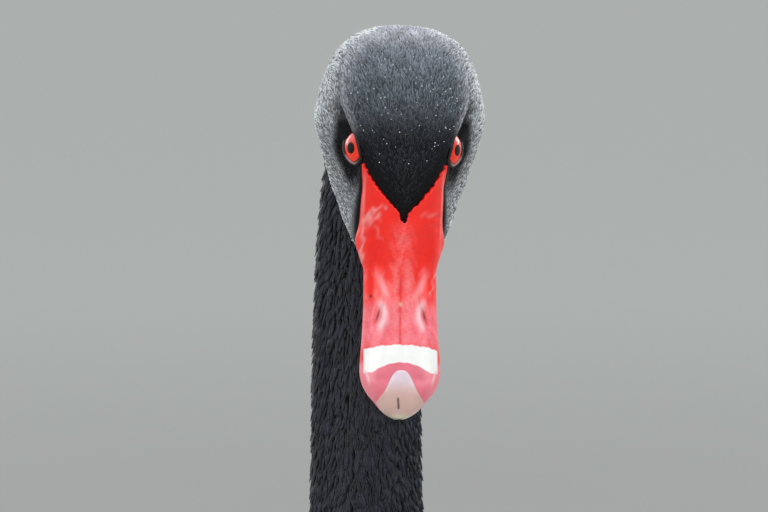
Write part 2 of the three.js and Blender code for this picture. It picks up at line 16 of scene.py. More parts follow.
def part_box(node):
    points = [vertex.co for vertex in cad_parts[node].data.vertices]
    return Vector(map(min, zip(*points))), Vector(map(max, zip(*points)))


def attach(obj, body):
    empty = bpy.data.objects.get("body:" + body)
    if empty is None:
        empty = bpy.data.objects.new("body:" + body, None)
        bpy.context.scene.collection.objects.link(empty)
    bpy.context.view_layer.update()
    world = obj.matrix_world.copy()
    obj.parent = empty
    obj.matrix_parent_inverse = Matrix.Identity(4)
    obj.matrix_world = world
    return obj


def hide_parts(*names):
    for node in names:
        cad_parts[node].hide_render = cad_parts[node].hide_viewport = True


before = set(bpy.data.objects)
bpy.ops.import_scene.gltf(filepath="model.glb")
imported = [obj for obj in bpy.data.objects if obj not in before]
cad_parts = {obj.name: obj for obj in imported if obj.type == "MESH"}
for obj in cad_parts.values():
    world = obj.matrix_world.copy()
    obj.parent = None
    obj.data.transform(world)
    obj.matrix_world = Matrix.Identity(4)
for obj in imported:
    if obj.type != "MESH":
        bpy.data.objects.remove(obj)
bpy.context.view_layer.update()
RNG = np.random.default_rng(1697)

# Body sizes, in millimetres
TORSO_FRONT = -255.0
TORSO_BACK = 278.0
TORSO_NOSE = 62.0
TORSO_RUMP = 46.0
EYE_MIDDLE = np.array([11.0, -215.0, 640.0])
BILL_PITCH = math.radians(70)
HEAD_YAW = math.radians(4.6)
HEAD_ROLL = math.radians(1.6)
SKULL_BACK = -50.5
BILL_TIP = 96.8

# Depth of the coat over the skin, in millimetres
HEAD_COAT = 1.0
NECK_COAT = 2.0
BODY_COAT = 3.0

# Skin
SKIN_VOXEL = 0.0024  # metres
EASE_MIDDLE = (0, -175, 165)  # where the neck runs into the breast
EASE_ROUNDS = 60
# Painted shade: the skin, seen between the feathers, is a darker copy of the coat's colour
SKIN_SHADE = 0.35  # of the coat's colour

# Feathers: how far apart their roots lie
TUFT_SPACING = 0.66
NECK_UPPER_SPACING = 1.7
NECK_LOWER_SPACING = 3.6
BODY_SPACING = 6.2
NECK_COAT_SPLIT = 440.0  # height where the finer feathers start
BODY_FEATHER_LONG = 30.0
BODY_FEATHER_WIDE = 13.0
PIECE_LIMIT = 190_000  # triangles
FLOOR_GAP = 0.4  # height of the lowest feathers
BRIGHTEST = 0.8  # of a feather's tint
FLECKS = 110
FLECK_SPACING = 1.1
FLECK_LIFT = 1.15

SIDES = {1: "left", -1: "right"}
CHUNK = 20_000  # points measured at once

# Camera
VIEW_DISTANCE = 1200.0
VIEW_SCALE = 0.365  # millimetres to a pixel at the forehead's lowest feather
VIEW_RISE = math.radians(6)
FOREHEAD_PIXEL = (404.5, 215.0)
PICTURE = (768, 512)
SENSOR = 36.0
FLOOR_REACH = 90.0  # metres

SHIFT = np.array([0.0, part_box("torso")[1].y * 1000 - TORSO_BACK, 0.0])


def to_frame(points):
    return (np.asarray(points, float) + SHIFT) / 1000


def unit(vectors):
    return vectors / np.maximum(np.linalg.norm(vectors, axis=-1, keepdims=True), 1e-9)


def mix(a, b, share):
    return a + (b - a) * share


def step(value, low, high):
    """0 below low, 1 above high, smooth between."""
    t = np.clip((value - low) / (high - low), 0, 1)
    return t * t * (3 - 2 * t)


def bell(value, centre, spread):
    return np.exp(-(((value - centre) / spread) ** 2))


def turns(count):
    """Angles evenly spaced round a circle."""
    return np.linspace(0, 2 * np.pi, count, endpoint=False)


def cap(distance, reach, power=2.0):
    """1 well inside an end, falling to 0 at it as an ellipse does, or more squarely at a higher power."""
    short = 1 - np.clip(distance / reach, 0, 1)
    return np.clip(1 - short**power, 0, 1) ** (1 / power)


def smooth(rows, t):
    """Monotone cubic through rows (t, a, b, ...): the values a, b, ... at t."""
    rows = np.asarray(rows, float)
    x, y = rows[:, 0], rows[:, 1:]
    t = np.clip(np.asarray(t, float), x[0], x[-1])
    width = np.diff(x)
    slope = np.diff(y, axis=0) / width[:, None]
    tangent = np.zeros_like(y)
    tangent[0], tangent[-1] = slope[0], slope[-1]
    before, after = slope[:-1], slope[1:]
    alike = before * after > 0
    tangent[1:-1] = np.where(alike, 2 * before * after / np.where(alike, before + after, 1), 0)
    k = np.clip(np.searchsorted(x, t, side="right") - 1, 0, len(x) - 2)
    u = ((t - x[k]) / width[k])[..., None]
    wide = width[k][..., None]
    return (
        (2 * u**3 - 3 * u**2 + 1) * y[k]
        + (u**3 - 2 * u**2 + u) * wide * tangent[k]
        + (3 * u**2 - 2 * u**3) * y[k + 1]
        + (u**3 - u**2) * wide * tangent[k + 1]
    )


def rounded(angle, power):
    """A superellipse's two axes at an angle."""
    c, s = np.cos(angle), np.sin(angle)
    return np.sign(c) * np.abs(c) ** (2 / power), np.sign(s) * np.abs(s) ** (2 / power)


# Torso, with rows of y, top, waist height, belly, half width
TORSO = [
    (TORSO_FRONT, 168, 112, 44, 84),
    (-205, 184, 108, 24, 92),
    (-150, 198, 104, 4, 102),
    (-90, 206, 100, -4, 110),
    (-20, 210, 98, -5, 115),
    (60, 206, 98, -4, 113),
    (125, 196, 102, 8, 102),
    (185, 180, 108, 34, 82),
    (235, 160, 114, 66, 60),
    (TORSO_BACK, 142, 118, 92, 44),
]


def torso_point(y, angle, grow=0.0):
    """A point of the torso, grow millimetres outside its plain form."""
    top, waist, belly, half = np.moveaxis(smooth(TORSO, y), -1, 0)
    ends = cap(y - TORSO_FRONT + grow, TORSO_NOSE) * cap(TORSO_BACK - y + grow, TORSO_RUMP)
    c, s = rounded(angle, 2.25)
    height = np.where(s >= 0, top - waist, waist - belly)
    x = (half * ends + grow) * c
    z = waist + (height * ends + grow) * s
    return np.stack([x, y + 0 * x, np.maximum(z, -grow)], -1)


# Neck, a tube on one S-curve, with rows of share of its length and radius
NECK_STOPS = np.array([
    (0, -110, 92),
    (0, -165, 132),
    (0, -197, 185),
    (-0.5, -210, 245),
    (-1.5, -197, 320),
    (-2.5, -176, 400),
    (-3, -160, 480),
    (-3, -154, 550),
    (-1.5, -155, 605),
    (1, -159, 633),
    (5, -173, 655),
    (8.5, -192, 657),
    (10.5, -206, 648),
], float)
NECK_RADIUS = [
    (0, 94),
    (0.07, 90),
    (0.13, 82),
    (0.2, 62),
    (0.28, 43.5),
    (0.4, 30.5),
    (0.55, 24.5),
    (0.7, 22),
    (0.84, 20.6),
    (0.93, 19),
    (1, 17),
]


def neck_path(count=240):
    """Points evenly spaced on the centripetal curve through the stops."""
    stops = np.vstack([2 * NECK_STOPS[0] - NECK_STOPS[1], NECK_STOPS, 2 * NECK_STOPS[-1] - NECK_STOPS[-2]])
    runs = []
    for p0, p1, p2, p3 in zip(stops, stops[1:], stops[2:], stops[3:]):
        d0, d1, d2 = (np.sqrt(np.linalg.norm(b - a)) for a, b in ((p0, p1), (p1, p2), (p2, p3)))
        t1 = ((p1 - p0) / d0 - (p2 - p0) / (d0 + d1) + (p2 - p1) / d1) * d1
        t2 = ((p2 - p1) / d1 - (p3 - p1) / (d1 + d2) + (p3 - p2) / d2) * d1
        t = np.linspace(0, 1, 40, endpoint=False)[:, None]
        runs.append(p1 + t1 * t + (3 * (p2 - p1) - 2 * t1 - t2) * t**2 + (2 * (p1 - p2) + t1 + t2) * t**3)
    points = np.vstack([*runs, NECK_STOPS[-1:]])
    length = np.concatenate([[0], np.cumsum(np.linalg.norm(np.diff(points, axis=0), axis=1))])
    wanted = np.linspace(0, length[-1], count)
    return np.stack([np.interp(wanted, length, points[:, k]) for k in range(3)], -1)


NECK = neck_path()
NECK_SHARE = np.linspace(0, 1, len(NECK))
NECK_WAY = unit(np.gradient(NECK, axis=0))
NECK_SIZE = smooth(NECK_RADIUS, NECK_SHARE)[:, 0]
NAPE = slice(150, 213, 3)  # steps of the neck just short of the skull


def neck_rings(sides, grow):
    """Rings round the neck, grow millimetres outside its plain form."""
    left = unit(np.array([1.0, 0, 0]) - NECK_WAY * NECK_WAY[:, :1])
    front = np.cross(NECK_WAY, left)
    angle = turns(sides)[None, :, None]
    radius = (NECK_SIZE + grow)[:, None, None]
    return NECK[:, None] + radius * (left[:, None] * np.cos(angle) + front[:, None] * np.sin(angle))


# Head frame: s runs forward along the bill, x to the bird's left, h out of the crown
def head_matrix():
    forward = Vector((0, -math.cos(BILL_PITCH), -math.sin(BILL_PITCH)))
    crown = Vector((0, -math.sin(BILL_PITCH), math.cos(BILL_PITCH)))
    axes = Matrix((forward, Vector((1, 0, 0)), crown)).transposed().to_4x4()
    turn = Matrix.Rotation(HEAD_ROLL, 4, "Y") @ Matrix.Rotation(HEAD_YAW, 4, "Z")
    return Matrix.Translation(Vector(EYE_MIDDLE)) @ turn @ axes


HEAD = np.array(head_matrix())
HEAD_S, HEAD_X, HEAD_H = HEAD[:3, 0], HEAD[:3, 1], HEAD[:3, 2]


def from_head(s, x, h):
    return EYE_MIDDLE + s[..., None] * HEAD_S + x[..., None] * HEAD_X + h[..., None] * HEAD_H


def to_head(points):
    local = points - EYE_MIDDLE
    return local @ HEAD_S, local @ HEAD_X, local @ HEAD_H


# Skull and upper bill in one run, with rows of s, top, waist, half width, throat
SKULL = [
    (SKULL_BACK, 3, -10, 24, -20),
    (-38, 12.5, -9.5, 26, -27),
    (-20, 18.5, -9.5, 26.6, -32),
    (-6, 18, -9.5, 25, -34),
    (6, 14, -9.5, 20.4, -34),
    (16, 8.6, -10.5, 15.9, -33),
    (26, 3, -13, 15.1, -32),
    (36, -2.4, -15.5, 14.8, -30),
    (43, -5.6, -16.5, 13.5, -22),
    (54, -8.6, -17, 13.5, -21.5),
    (66, -10.2, -17, 14, -21),
    (80, -11.2, -17.5, 14.9, -21),
    (84, -11.6, -17.7, 14.3, -21.2),
    (88, -12.4, -18.2, 12.4, -21.6),
    (92, -14, -19, 9, -22.2),
    (BILL_TIP, -18, -21, 5.2, -24),
]


def side_angle(angle):
    """Degrees above the widest line, the same on both sides."""
    return np.degrees(np.arcsin(np.sin(angle)))


# The V of feathers on the forehead
FOREHEAD_POINT = 26.0
FOREHEAD_SLANT = 0.6
FOREHEAD_CURVE = 0.0355
TONGUE = 2.6  # length of the narrow black point below the V

# s and h along the edge of the cheek's feathers, seen from the side
LORE_TOP = (5.5, 6.0)
GAPE = (30.0, -17.2)
CHIN_LINE = (39.0, -31.0)


def past_lore(s, h):
    """Millimetres in front of the line where the cheek's feathers end, seen from the side."""

    def beyond(start, end):
        run, fall = end[0] - start[0], end[1] - start[1]
        return ((s - start[0]) * -fall + (h - start[1]) * run) / math.hypot(run, fall)

    return np.maximum(beyond(LORE_TOP, GAPE), beyond(GAPE, CHIN_LINE))


def skull_section(s, angle, grow=0.0):
    """x and h of the outline of skull and upper bill at s, grow millimetres outside it."""
    top, waist, half, throat = np.moveaxis(smooth(SKULL, s), -1, 0)
    back = cap(s - SKULL_BACK + grow, 22, 2.6)
    tip = cap(BILL_TIP - s + grow, 3.5)
    c, q = rounded(angle, mix(2.15, 2.6, step(-s, 12, 40)))
    height = np.where(q >= 0, (top - waist) * np.sqrt(tip), waist - throat)
    side = side_angle(angle)
    flat = waist + height * back * q
    jowl = step(-past_lore(s, flat), -0.5, 4.5)
    lift = 6.8 * bell(s, -16, 20) * bell(side, -18, 34) * back
    lift = lift + 9.5 * bell(s, 15, 18) * bell(side, -34, 27) * jowl
    lift = lift - 3.2 * bell(s, 1, 9) * bell(side, 12, 20) + grow
    return half * back * tip * c + np.cos(angle) * lift, flat + np.sin(angle) * lift


def bareness(s, x, h):
    """Millimetres inside the bare skin of the lores and bill, negative among the feathers."""
    aside = np.abs(x)
    slant = FOREHEAD_SLANT + 2 * FOREHEAD_CURVE * aside
    ragged = 0.3 * np.sin(2.1 * x) * np.sin(1.3 * s + 0.7 * x)
    edge = FOREHEAD_POINT - FOREHEAD_SLANT * aside - FOREHEAD_CURVE * aside**2
    edge = edge + TONGUE * step(-np.abs(x + 0.2), -1.9, -1.0)
    forehead = (s - edge) / np.hypot(1, slant) + ragged
    return np.minimum(forehead, np.minimum(s - LORE_TOP[0], past_lore(s, h)))


BROW_LINE = [(-46, 54), (-38, 46), (-29, 38), (-17, 34), (-5, 40), (4, 48)]  # s and degrees up from the side


def brow_offset(s, side):
    """Degrees above the ridge that runs from the eye back round the crown."""
    return side - smooth(BROW_LINE, s)[..., 0]


def head_skin_point(s, angle):
    x, h = skull_section(s, angle)
    side = side_angle(angle)
    feathered = step(-bareness(s, x, h), -0.25, 0.25)
    grow = mix(-2.8, -HEAD_COAT, feathered)
    off = brow_offset(s, side)
    groove = bell(off, -11, 5.5) * step(s, -44, -30) * step(-s, -7, 1)
    pit = bell(off, -12, 4.5) * bell(s, -13, 5)
    ridge = bell(off, 0, 5) * step(s, -46, -32) * step(-s, -6, 4)
    grow = grow - 1.7 * groove - 0.9 * pit + 0.75 * ridge
    x, h = skull_section(s, angle, grow)
    return from_head(s + 0 * x, x, h)


# Meshes from arrays
def mesh_object(name, points, polygons, material=None, tint=None, patch=None):
    """points in design millimetres; polygons a list of index arrays, one array for each number of corners."""
    mesh = bpy.data.meshes.new(name)
    mesh.vertices.add(len(points))
    mesh.vertices.foreach_set("co", to_frame(points).astype(np.float32).ravel())
    corners = np.concatenate([p.ravel() for p in polygons]).astype(np.int32)
    counts = np.concatenate([np.full(len(p), p.shape[1]) for p in polygons])
    starts = np.concatenate([[0], np.cumsum(counts)[:-1]]).astype(np.int32)
    mesh.loops.add(len(corners))
    mesh.loops.foreach_set("vertex_index", corners)
    mesh.polygons.add(len(starts))
    mesh.polygons.foreach_set("loop_start", starts)
    mesh.polygons.foreach_set("use_smooth", np.ones(len(starts), bool))
    mesh.update(calc_edges=True)
    if tint is not None:
        set_tint(mesh, tint)
    if patch is not None:
        layer = mesh.uv_layers.new(name="OFBake")
        layer.data.foreach_set("uv", patch[corners].astype(np.float32).ravel())
    obj = bpy.data.objects.new(name, mesh)
    bpy.context.scene.collection.objects.link(obj)
    if material:
        mesh.materials.append(material)
    return obj


def set_tint(mesh, tint):
    layer = mesh.color_attributes.new("tint", "FLOAT_COLOR", "POINT")
    colours = np.ones((len(mesh.vertices), 4), np.float32)
    colours[:, :3] = tint
    layer.data.foreach_set("color", colours.ravel())


def tube_polygons(count, rows, sides):
    """Closed tubes, each of rows rings with so many sides, with a flat cap at both ends."""
    base = np.arange(count)[:, None, None] * rows * sides
    ring = np.arange(rows - 1)[None, :, None] * sides
    here = np.arange(sides)[None, None, :]
    after = (here + 1) % sides
    corners = (ring + here, ring + after, ring + sides + after, ring + sides + here)
    walls = np.stack([base + c for c in corners], -1).reshape(-1, 4)
    start = np.arange(count)[:, None] * rows * sides
    first = start + np.arange(sides)[None, ::-1]
    last = start + (rows - 1) * sides + np.arange(sides)[None]
    return [walls, np.concatenate([first, last])] if sides != 4 else [np.concatenate([walls, first, last])]


def finished(obj):
    """Replaces obj's mesh by the one that its modifiers make."""
    graph = bpy.context.evaluated_depsgraph_get()
    mesh = bpy.data.meshes.new_from_object(obj.evaluated_get(graph))
    obj.modifiers.clear()
    obj.data = mesh


def points_of(mesh):
    flat = np.empty(len(mesh.vertices) * 3, np.float32)
    mesh.vertices.foreach_get("co", flat)
    return flat.reshape(-1, 3).astype(float) * 1000 - SHIFT


# Where a point is on the bird
def nearest_neck(points):
    found = np.empty(len(points), int)
    gap = np.empty(len(points))
    for start in range(0, len(points), CHUNK):
        part = slice(start, start + CHUNK)
        away = np.linalg.norm(points[part, None] - NECK[None], axis=2)
        found[part] = away.argmin(1)
        gap[part] = away.min(1)
    return found, gap


def head_gap(points):
    """Rough distance outside the skull, in millimetres."""
    s, x, h = to_head(points)
    waist = smooth(SKULL, s)[:, 1]
    angle = np.arctan2(h - waist, x)
    edge = np.hypot(*(a - b for a, b in zip(skull_section(np.clip(s, -48, 90), angle), (0, waist))))
    beyond = np.maximum(np.maximum(SKULL_BACK - s, s - BILL_TIP), 0)
    return np.hypot(x, h - waist) - edge + 2 * beyond


def torso_gap(points):
    x, y, z = points.T
    top, waist, belly, half = np.moveaxis(smooth(TORSO, y), -1, 0)
    height = np.where(z >= waist, top - waist, waist - belly)
    share = np.hypot(x / half, (z - waist) / height)
    beyond = np.maximum(np.maximum(TORSO_FRONT - y, y - TORSO_BACK), 0)
    return (share - 1) * 90 + beyond


class Place:
    """Shares of head, neck and torso at each point, with the neck's nearest step."""

    def __init__(self, points):
        self.points = points
        self.step, away = nearest_neck(points)
        neck = away - NECK_SIZE[self.step]
        head = np.where(points[:, 2] > 540, head_gap(points), 999)
        torso = np.where(points[:, 2] < 330, torso_gap(points), 999)
        self.head = np.clip((neck - head) / 10 + 0.5, 0, 1)
        self.face = np.clip((neck - head) / 30 + 0.3, 0, 1)
        self.torso = np.clip((neck - torso) / 60 + 0.5, 0, 1) * (self.head < 0.5)
        self.neck = np.clip(1 - self.head - self.torso, 0, 1)

    def lie(self, normals):
        """The way the feathers point."""
        s, x, h = to_head(self.points)
        back = step(-s, 18, 44)[:, None]
        cheek = (step(-h, 2, 16) * 0.55)[:, None]
        head = unit(-HEAD_S * (1 - back) - HEAD_H * (back + cheek) + HEAD_X * (0.012 * x)[:, None])
        neck = -NECK_WAY[self.step]
        front = np.clip(-normals[:, 1], 0, 1)[:, None]
        torso = unit(mix(np.array([0, 1, -0.12]), np.array([0, 0.2, -1.0]), front))
        way = head * self.head[:, None] + neck * self.neck[:, None] + torso * self.torso[:, None]
        return unit(way - normals * np.sum(way * normals, 1, keepdims=True))

    def unwrap(self):
        """A place between 0 and 1 each way on the opened-out skin: torso below, head and neck above."""
        s, x, h = to_head(self.points)
        turn = np.arctan2(h + 10, x) / (2 * np.pi) + 0.5
        head = np.stack([0.02 + 0.45 * turn, 0.53 + 0.44 * np.clip((s - SKULL_BACK) / 95, 0, 1)], -1)
        off = self.points - NECK[self.step]
        turn = np.arctan2(off[:, 1], off[:, 0]) / (2 * np.pi) + 0.5
        neck = np.stack([0.52 + 0.45 * turn, 0.53 + 0.44 * self.step / len(NECK)], -1)
        turn = np.arctan2(self.points[:, 2] - 104, self.points[:, 0]) / (2 * np.pi) + 0.5
        along = (self.points[:, 1] - TORSO_FRONT) / (TORSO_BACK - TORSO_FRONT)
        torso = np.stack([0.02 + 0.95 * turn, 0.02 + 0.45 * np.clip(along, 0, 1)], -1)
        best = np.argmax(np.stack([self.head, self.neck, self.torso]), 0)[:, None]
        return np.where(best == 0, head, np.where(best == 1, neck, torso))


def linear(*srgb):
    """A colour seen in the photo, on a scale of 255, as light."""
    c = np.array(srgb, float) / 255
    return np.where(c <= 0.04045, c / 12.92, ((c + 0.055) / 1.055) ** 2.4)


BLACK_FEATHER = linear(17, 20, 30)
BODY_FEATHER = linear(26, 26, 31)
FACE_BLACK = linear(11, 11, 18)
SLATE = linear(119, 129, 140)
PALE = linear(192, 194, 203)
CHEEK_GREY = linear(206, 211, 216)
SLATE_SHADE = 0.33
# The crown's pale back, where it turns away, is painted sheen
CROWN_SHADES = [  # s and how pale the crown is there: 0 black, SLATE_SHADE slate, 1 pale
    (-50, 1),
    (-42, 0.95),
    (-37, 0.72),
    (-32, 0.42),
    (-16, 0.34),
    (-10, 0.29),
    (-4, 0.12),
    (3, 0.03),
    (26, 0),
]


def face_sides(place):
    """Shares of cheek and crown, and degrees above the brow ridge."""
    s, x, h = to_head(place.points)
    side = np.degrees(np.arctan2(h + 9.5, np.abs(x) + 1e-6)) - 2
    off = brow_offset(s, side)
    return side, off, step(-off, 3, 8) * step(s, -54, -44)


def markings(place):
    """The colour of skin and coat at each point, the same function for both."""
    s, x, h = to_head(place.points)
    side, off, cheek = face_sides(place)
    # Black at the forehead, slate on the crown, and pale at its back as painted sheen
    pale = smooth(CROWN_SHADES, s)[:, 0]
    crown = mix(FACE_BLACK, SLATE, np.clip(pale / SLATE_SHADE, 0, 1)[:, None])
    crown = mix(crown, PALE, np.clip((pale - SLATE_SHADE) / (1 - SLATE_SHADE), 0, 1)[:, None])
    cloudy = np.sin(0.5 * x + 0.8 * np.sin(0.31 * s)) * np.sin(0.43 * s + 0.9 * np.sin(0.37 * x + 1))
    crown = crown * (1 + 0.22 * cloudy)[:, None]
    # Painted highlight along the brow ridge, where the crown's feathers turn over its edge
    rim = np.maximum(0.75 * bell(off, 2, 7) * step(-s, 10, 20), bell(off, 0.5, 3.6) * step(-s, 1, 6))
    crown = mix(crown, PALE, rim[:, None])
    hoary = mix(0.78, 1.2, step(-s, -8, 24))
    colour = mix(crown, CHEEK_GREY * hoary[:, None], cheek[:, None])
    # Black feathers beside each eye, partly painted shade in the groove between crown and cheek
    outer = 24.6 - 0.27 * np.clip(s + 2, 0, 16)
    dark = step(outer - np.abs(x), -1.3, 0.9) * step(s, -14, -9) * step(-s, -16, -9)
    dark = dark * step(h, -13, -9) * step(-off, 2, 7) * step(np.abs(x), 12, 17)
    lore = step(bareness(s, x, h), -4.6, -2.8)
    # Painted shade in the dent behind each eye
    pit = bell(off, -12, 5) * bell(s, -13, 4) * 0.9
    dark = np.clip(np.maximum(np.maximum(dark, lore), pit), 0, 1)
    colour = mix(colour, FACE_BLACK, dark[:, None])
    off_nape = np.full(len(s), 99.0)
    close = place.face > 0
    away = np.linalg.norm(place.points[close][:, None] - NECK[NAPE][None], axis=2)
    off_nape[close] = (away - NECK_SIZE[NAPE]).min(1)
    dusky = np.maximum(step(-side, 46, 70), 0.92 * step(-off_nape, -11, 0))
    colour = mix(colour, BLACK_FEATHER, dusky[:, None])
    body = mix(BLACK_FEATHER, BODY_FEATHER, np.clip(place.torso, 0, 1)[:, None])
    return mix(body, colour, place.face[:, None])


# Skin
def grid_tube(rings, first, last):
    """One closed mesh from rings (rows, sides, 3) with a point at each end."""
    rows, sides, _ = rings.shape
    walls = tube_polygons(1, rows, sides)[0][: (rows - 1) * sides]
    here = np.arange(sides)
    after = (here + 1) % sides
    top = rows * sides
    ends = np.concatenate([
        np.stack([np.full(sides, top), after, here], -1),
        np.stack([np.full(sides, top + 1), here + top - sides, after + top - sides], -1),
    ])
    return np.vstack([rings.reshape(-1, 3), first, last]), [walls, ends]


def torso_mesh(grow):
    t = (1 - np.cos(np.pi * (np.arange(90) + 0.5) / 90)) / 2
    y = mix(TORSO_FRONT - grow, TORSO_BACK + grow, t)[:, None]
    angle = turns(96)[None]
    rings = torso_point(y + 0 * angle, angle + 0 * y, grow)
    ends = [(0, y, smooth(TORSO, y)[1]) for y in (TORSO_FRONT - grow, TORSO_BACK + grow)]
    return grid_tube(rings[:, ::-1], *ends)


def skull_mesh():
    crowded = SKULL_BACK + 1.1 + 12 * np.linspace(0, 1, 24) ** 2
    s = np.concatenate([crowded, np.linspace(-36.8, 44, 130)])[:, None]
    angle = turns(260)[None]
    rings = head_skin_point(s + 0 * angle, angle + 0 * s)
    ends = [from_head(np.array(v), np.array(0.0), smooth(SKULL, v)[1]) for v in (SKULL_BACK + 1.0, 44.2)]
    return grid_tube(rings[:, ::-1], *ends)


def stump_mesh():
    """The short root that carries the tail."""
    u = np.linspace(0, 1, 30)[:, None]
    angle = turns(48)[None]
    taper = cap(1.02 - u, 0.3)
    x = mix(40, 30, u) * np.cos(angle) * taper
    z = mix(118, 114, u) + mix(24, 6, u) * np.sin(angle) * taper
    rings = np.stack([x, mix(225, 288, u) + 0 * angle, z], -1)
    return grid_tube(rings[:, ::-1], (0, 224, 118), (0, 289, 114))


def merged(parts):
    """Closed shells as one list of points and polygons."""
    points, quads, tris, base = [], [], [], 0
    for p, (walls, ends) in parts:
        points.append(p)
        quads.append(walls + base)
        tris.append(ends + base)
        base += len(p)
    return np.vstack(points), [np.vstack(quads), np.vstack(tris)]


def solid(name, points, polygons, material=None, tint=None):
    """A piece of closed shells, with every face turned out."""
    obj = mesh_object(name, points, polygons, material, tint)
    bm = bmesh.new()
    bm.from_mesh(obj.data)
    bmesh.ops.recalc_face_normals(bm, faces=bm.faces)
    bm.to_mesh(obj.data)
    bm.free()
    return obj


def make_skin():
    """Torso, neck, head and tail stump as one closed skin."""
    rings = neck_rings(64, -NECK_COAT)[:, ::-1]
    parts = [torso_mesh(-BODY_COAT), grid_tube(rings, NECK[0], NECK[-1]), stump_mesh()]
    body = solid("swan_skin", *merged(parts))
    remesh = body.modifiers.new("one surface", "REMESH")
    remesh.mode = "VOXEL"
    remesh.voxel_size = SKIN_VOXEL
    finished(body)
    points = points_of(body.data)
    group = body.vertex_groups.new(name="breast")
    near = step(-np.linalg.norm((points - EASE_MIDDLE) * [1, 1, 1.15], axis=1), -150, -60)
    for i in np.nonzero(near > 0.02)[0]:
        group.add([int(i)], float(near[i]), "REPLACE")
    ease = body.modifiers.new("ease", "SMOOTH")
    ease.factor = 0.5
    ease.iterations = EASE_ROUNDS
    ease.vertex_group = "breast"
    finished(body)
    body.vertex_groups.clear()
    head = solid("skull", *skull_mesh())
    join = body.modifiers.new("head", "BOOLEAN")
    join.operation = "UNION"
    join.solver = "EXACT"
    join.object = head
    finished(body)
    bpy.data.objects.remove(head)
    body.data.polygons.foreach_set("use_smooth", np.ones(len(body.data.polygons), bool))
    points = points_of(body.data)
    # Painted shade between the feathers: the skin takes a darker copy of the markings
    set_tint(body.data, markings(Place(points)) * SKIN_SHADE)
    return body


class Skin:
    """Finds the nearest place on the skin, and roots spread over it."""

    def __init__(self, obj):
        mesh = obj.data
        mesh.calc_loop_triangles()
        self.points = points_of(mesh)
        flat = np.empty(len(mesh.loop_triangles) * 3, np.int32)
        mesh.loop_triangles.foreach_get("vertices", flat)
        self.faces = flat.reshape(-1, 3)
        a, b, c = (self.points[self.faces[:, k]] for k in range(3))
        cross = np.cross(b - a, c - a)
        self.area = np.linalg.norm(cross, axis=1) / 2
        self.normal = unit(cross)
        self.middle = (a + b + c) / 3
        self.tree = BVHTree.FromPolygons(self.points.tolist(), self.faces.tolist())

    def snap(self, points):
        hits = [self.tree.find_nearest(p) for p in points.reshape(-1, 3).tolist()]
        place = np.array([h[0] for h in hits]).reshape(points.shape)
        normal = np.array([h[1] for h in hits]).reshape(points.shape)
        return place, normal

    def roots(self, weight, spacing):
        """Points spread over the faces by weight, about spacing apart."""
        chance = self.area * weight
        count = int(4 * chance.sum() / spacing**2)
        pick = RNG.choice(len(self.faces), count, p=chance / chance.sum())
        r1, r2 = np.sqrt(RNG.random(count)), RNG.random(count)
        a, b, c = (self.points[self.faces[pick, k]] for k in range(3))
        points = (1 - r1)[:, None] * a + (r1 * (1 - r2))[:, None] * b + (r1 * r2)[:, None] * c
        cell = np.floor(points / spacing).astype(np.int64) @ np.array([1, 100003, 10000600009])
        keep = np.sort(np.unique(cell, return_index=True)[1])
        return points[keep], self.normal[pick[keep]]


# Coat: the share of a feather's width at each share of its length
OUTLINE = [(0, 0.5), (0.3, 0.92), (0.55, 1), (0.8, 0.78), (0.94, 0.4), (1, 0.06)]


def plume_rings(path, normal, half, thick, sides):
    """Rings round each shaft: flat, tapered, with the rib on top."""
    way = unit(np.gradient(path, axis=1))
    across = unit(np.cross(normal, way))
    up = np.cross(way, across)
    half, thick = half[..., None], thick[..., None]
    sunk = -up * thick * (0.3 if sides == 3 else 0.4)
    ring = [across * half + sunk, up * thick, sunk - across * half]
    if sides == 4:
        ring.append(-up * thick * 0.7)
    return path[:, :, None] + np.stack(ring, 2)


PATCH = 0.003  # side of each plume's own place on the OFBake map


def patches(root_uv, rows, sides):
    """Each plume's own small patch round its root's place."""
    grid = np.meshgrid(np.linspace(-0.5, 0.5, rows), np.linspace(-0.5, 0.5, sides), indexing="ij")
    spread = np.stack(grid, -1)
    return (root_uv[:, None, None] + PATCH * spread[None]).reshape(-1, 2)


def coat_pieces(name, rings, tint, root_uv, material):
    """Objects of at most about PIECE_LIMIT triangles.

    rings is (plumes, rows, sides, 3), each ring going round anticlockwise seen from the tip.
    """
    count, rows, sides, _ = rings.shape
    each = 2 * (rows - 1) * sides + 2 * (sides - 2)
    pieces = math.ceil(count * each / PIECE_LIMIT)
    made = []
    for k, part in enumerate(np.array_split(np.arange(count), pieces)):
        label = name if pieces == 1 else f"{name}_{k + 1}"
        points = rings[part].reshape(-1, 3)
        points[:, 2] = np.maximum(points[:, 2], FLOOR_GAP)
        made.append(mesh_object(
            label,
            points,
            tube_polygons(len(part), rows, sides),
            material,
            tint[part].reshape(-1, 3),
            patches(root_uv[part], rows, sides),
        ))
    return made


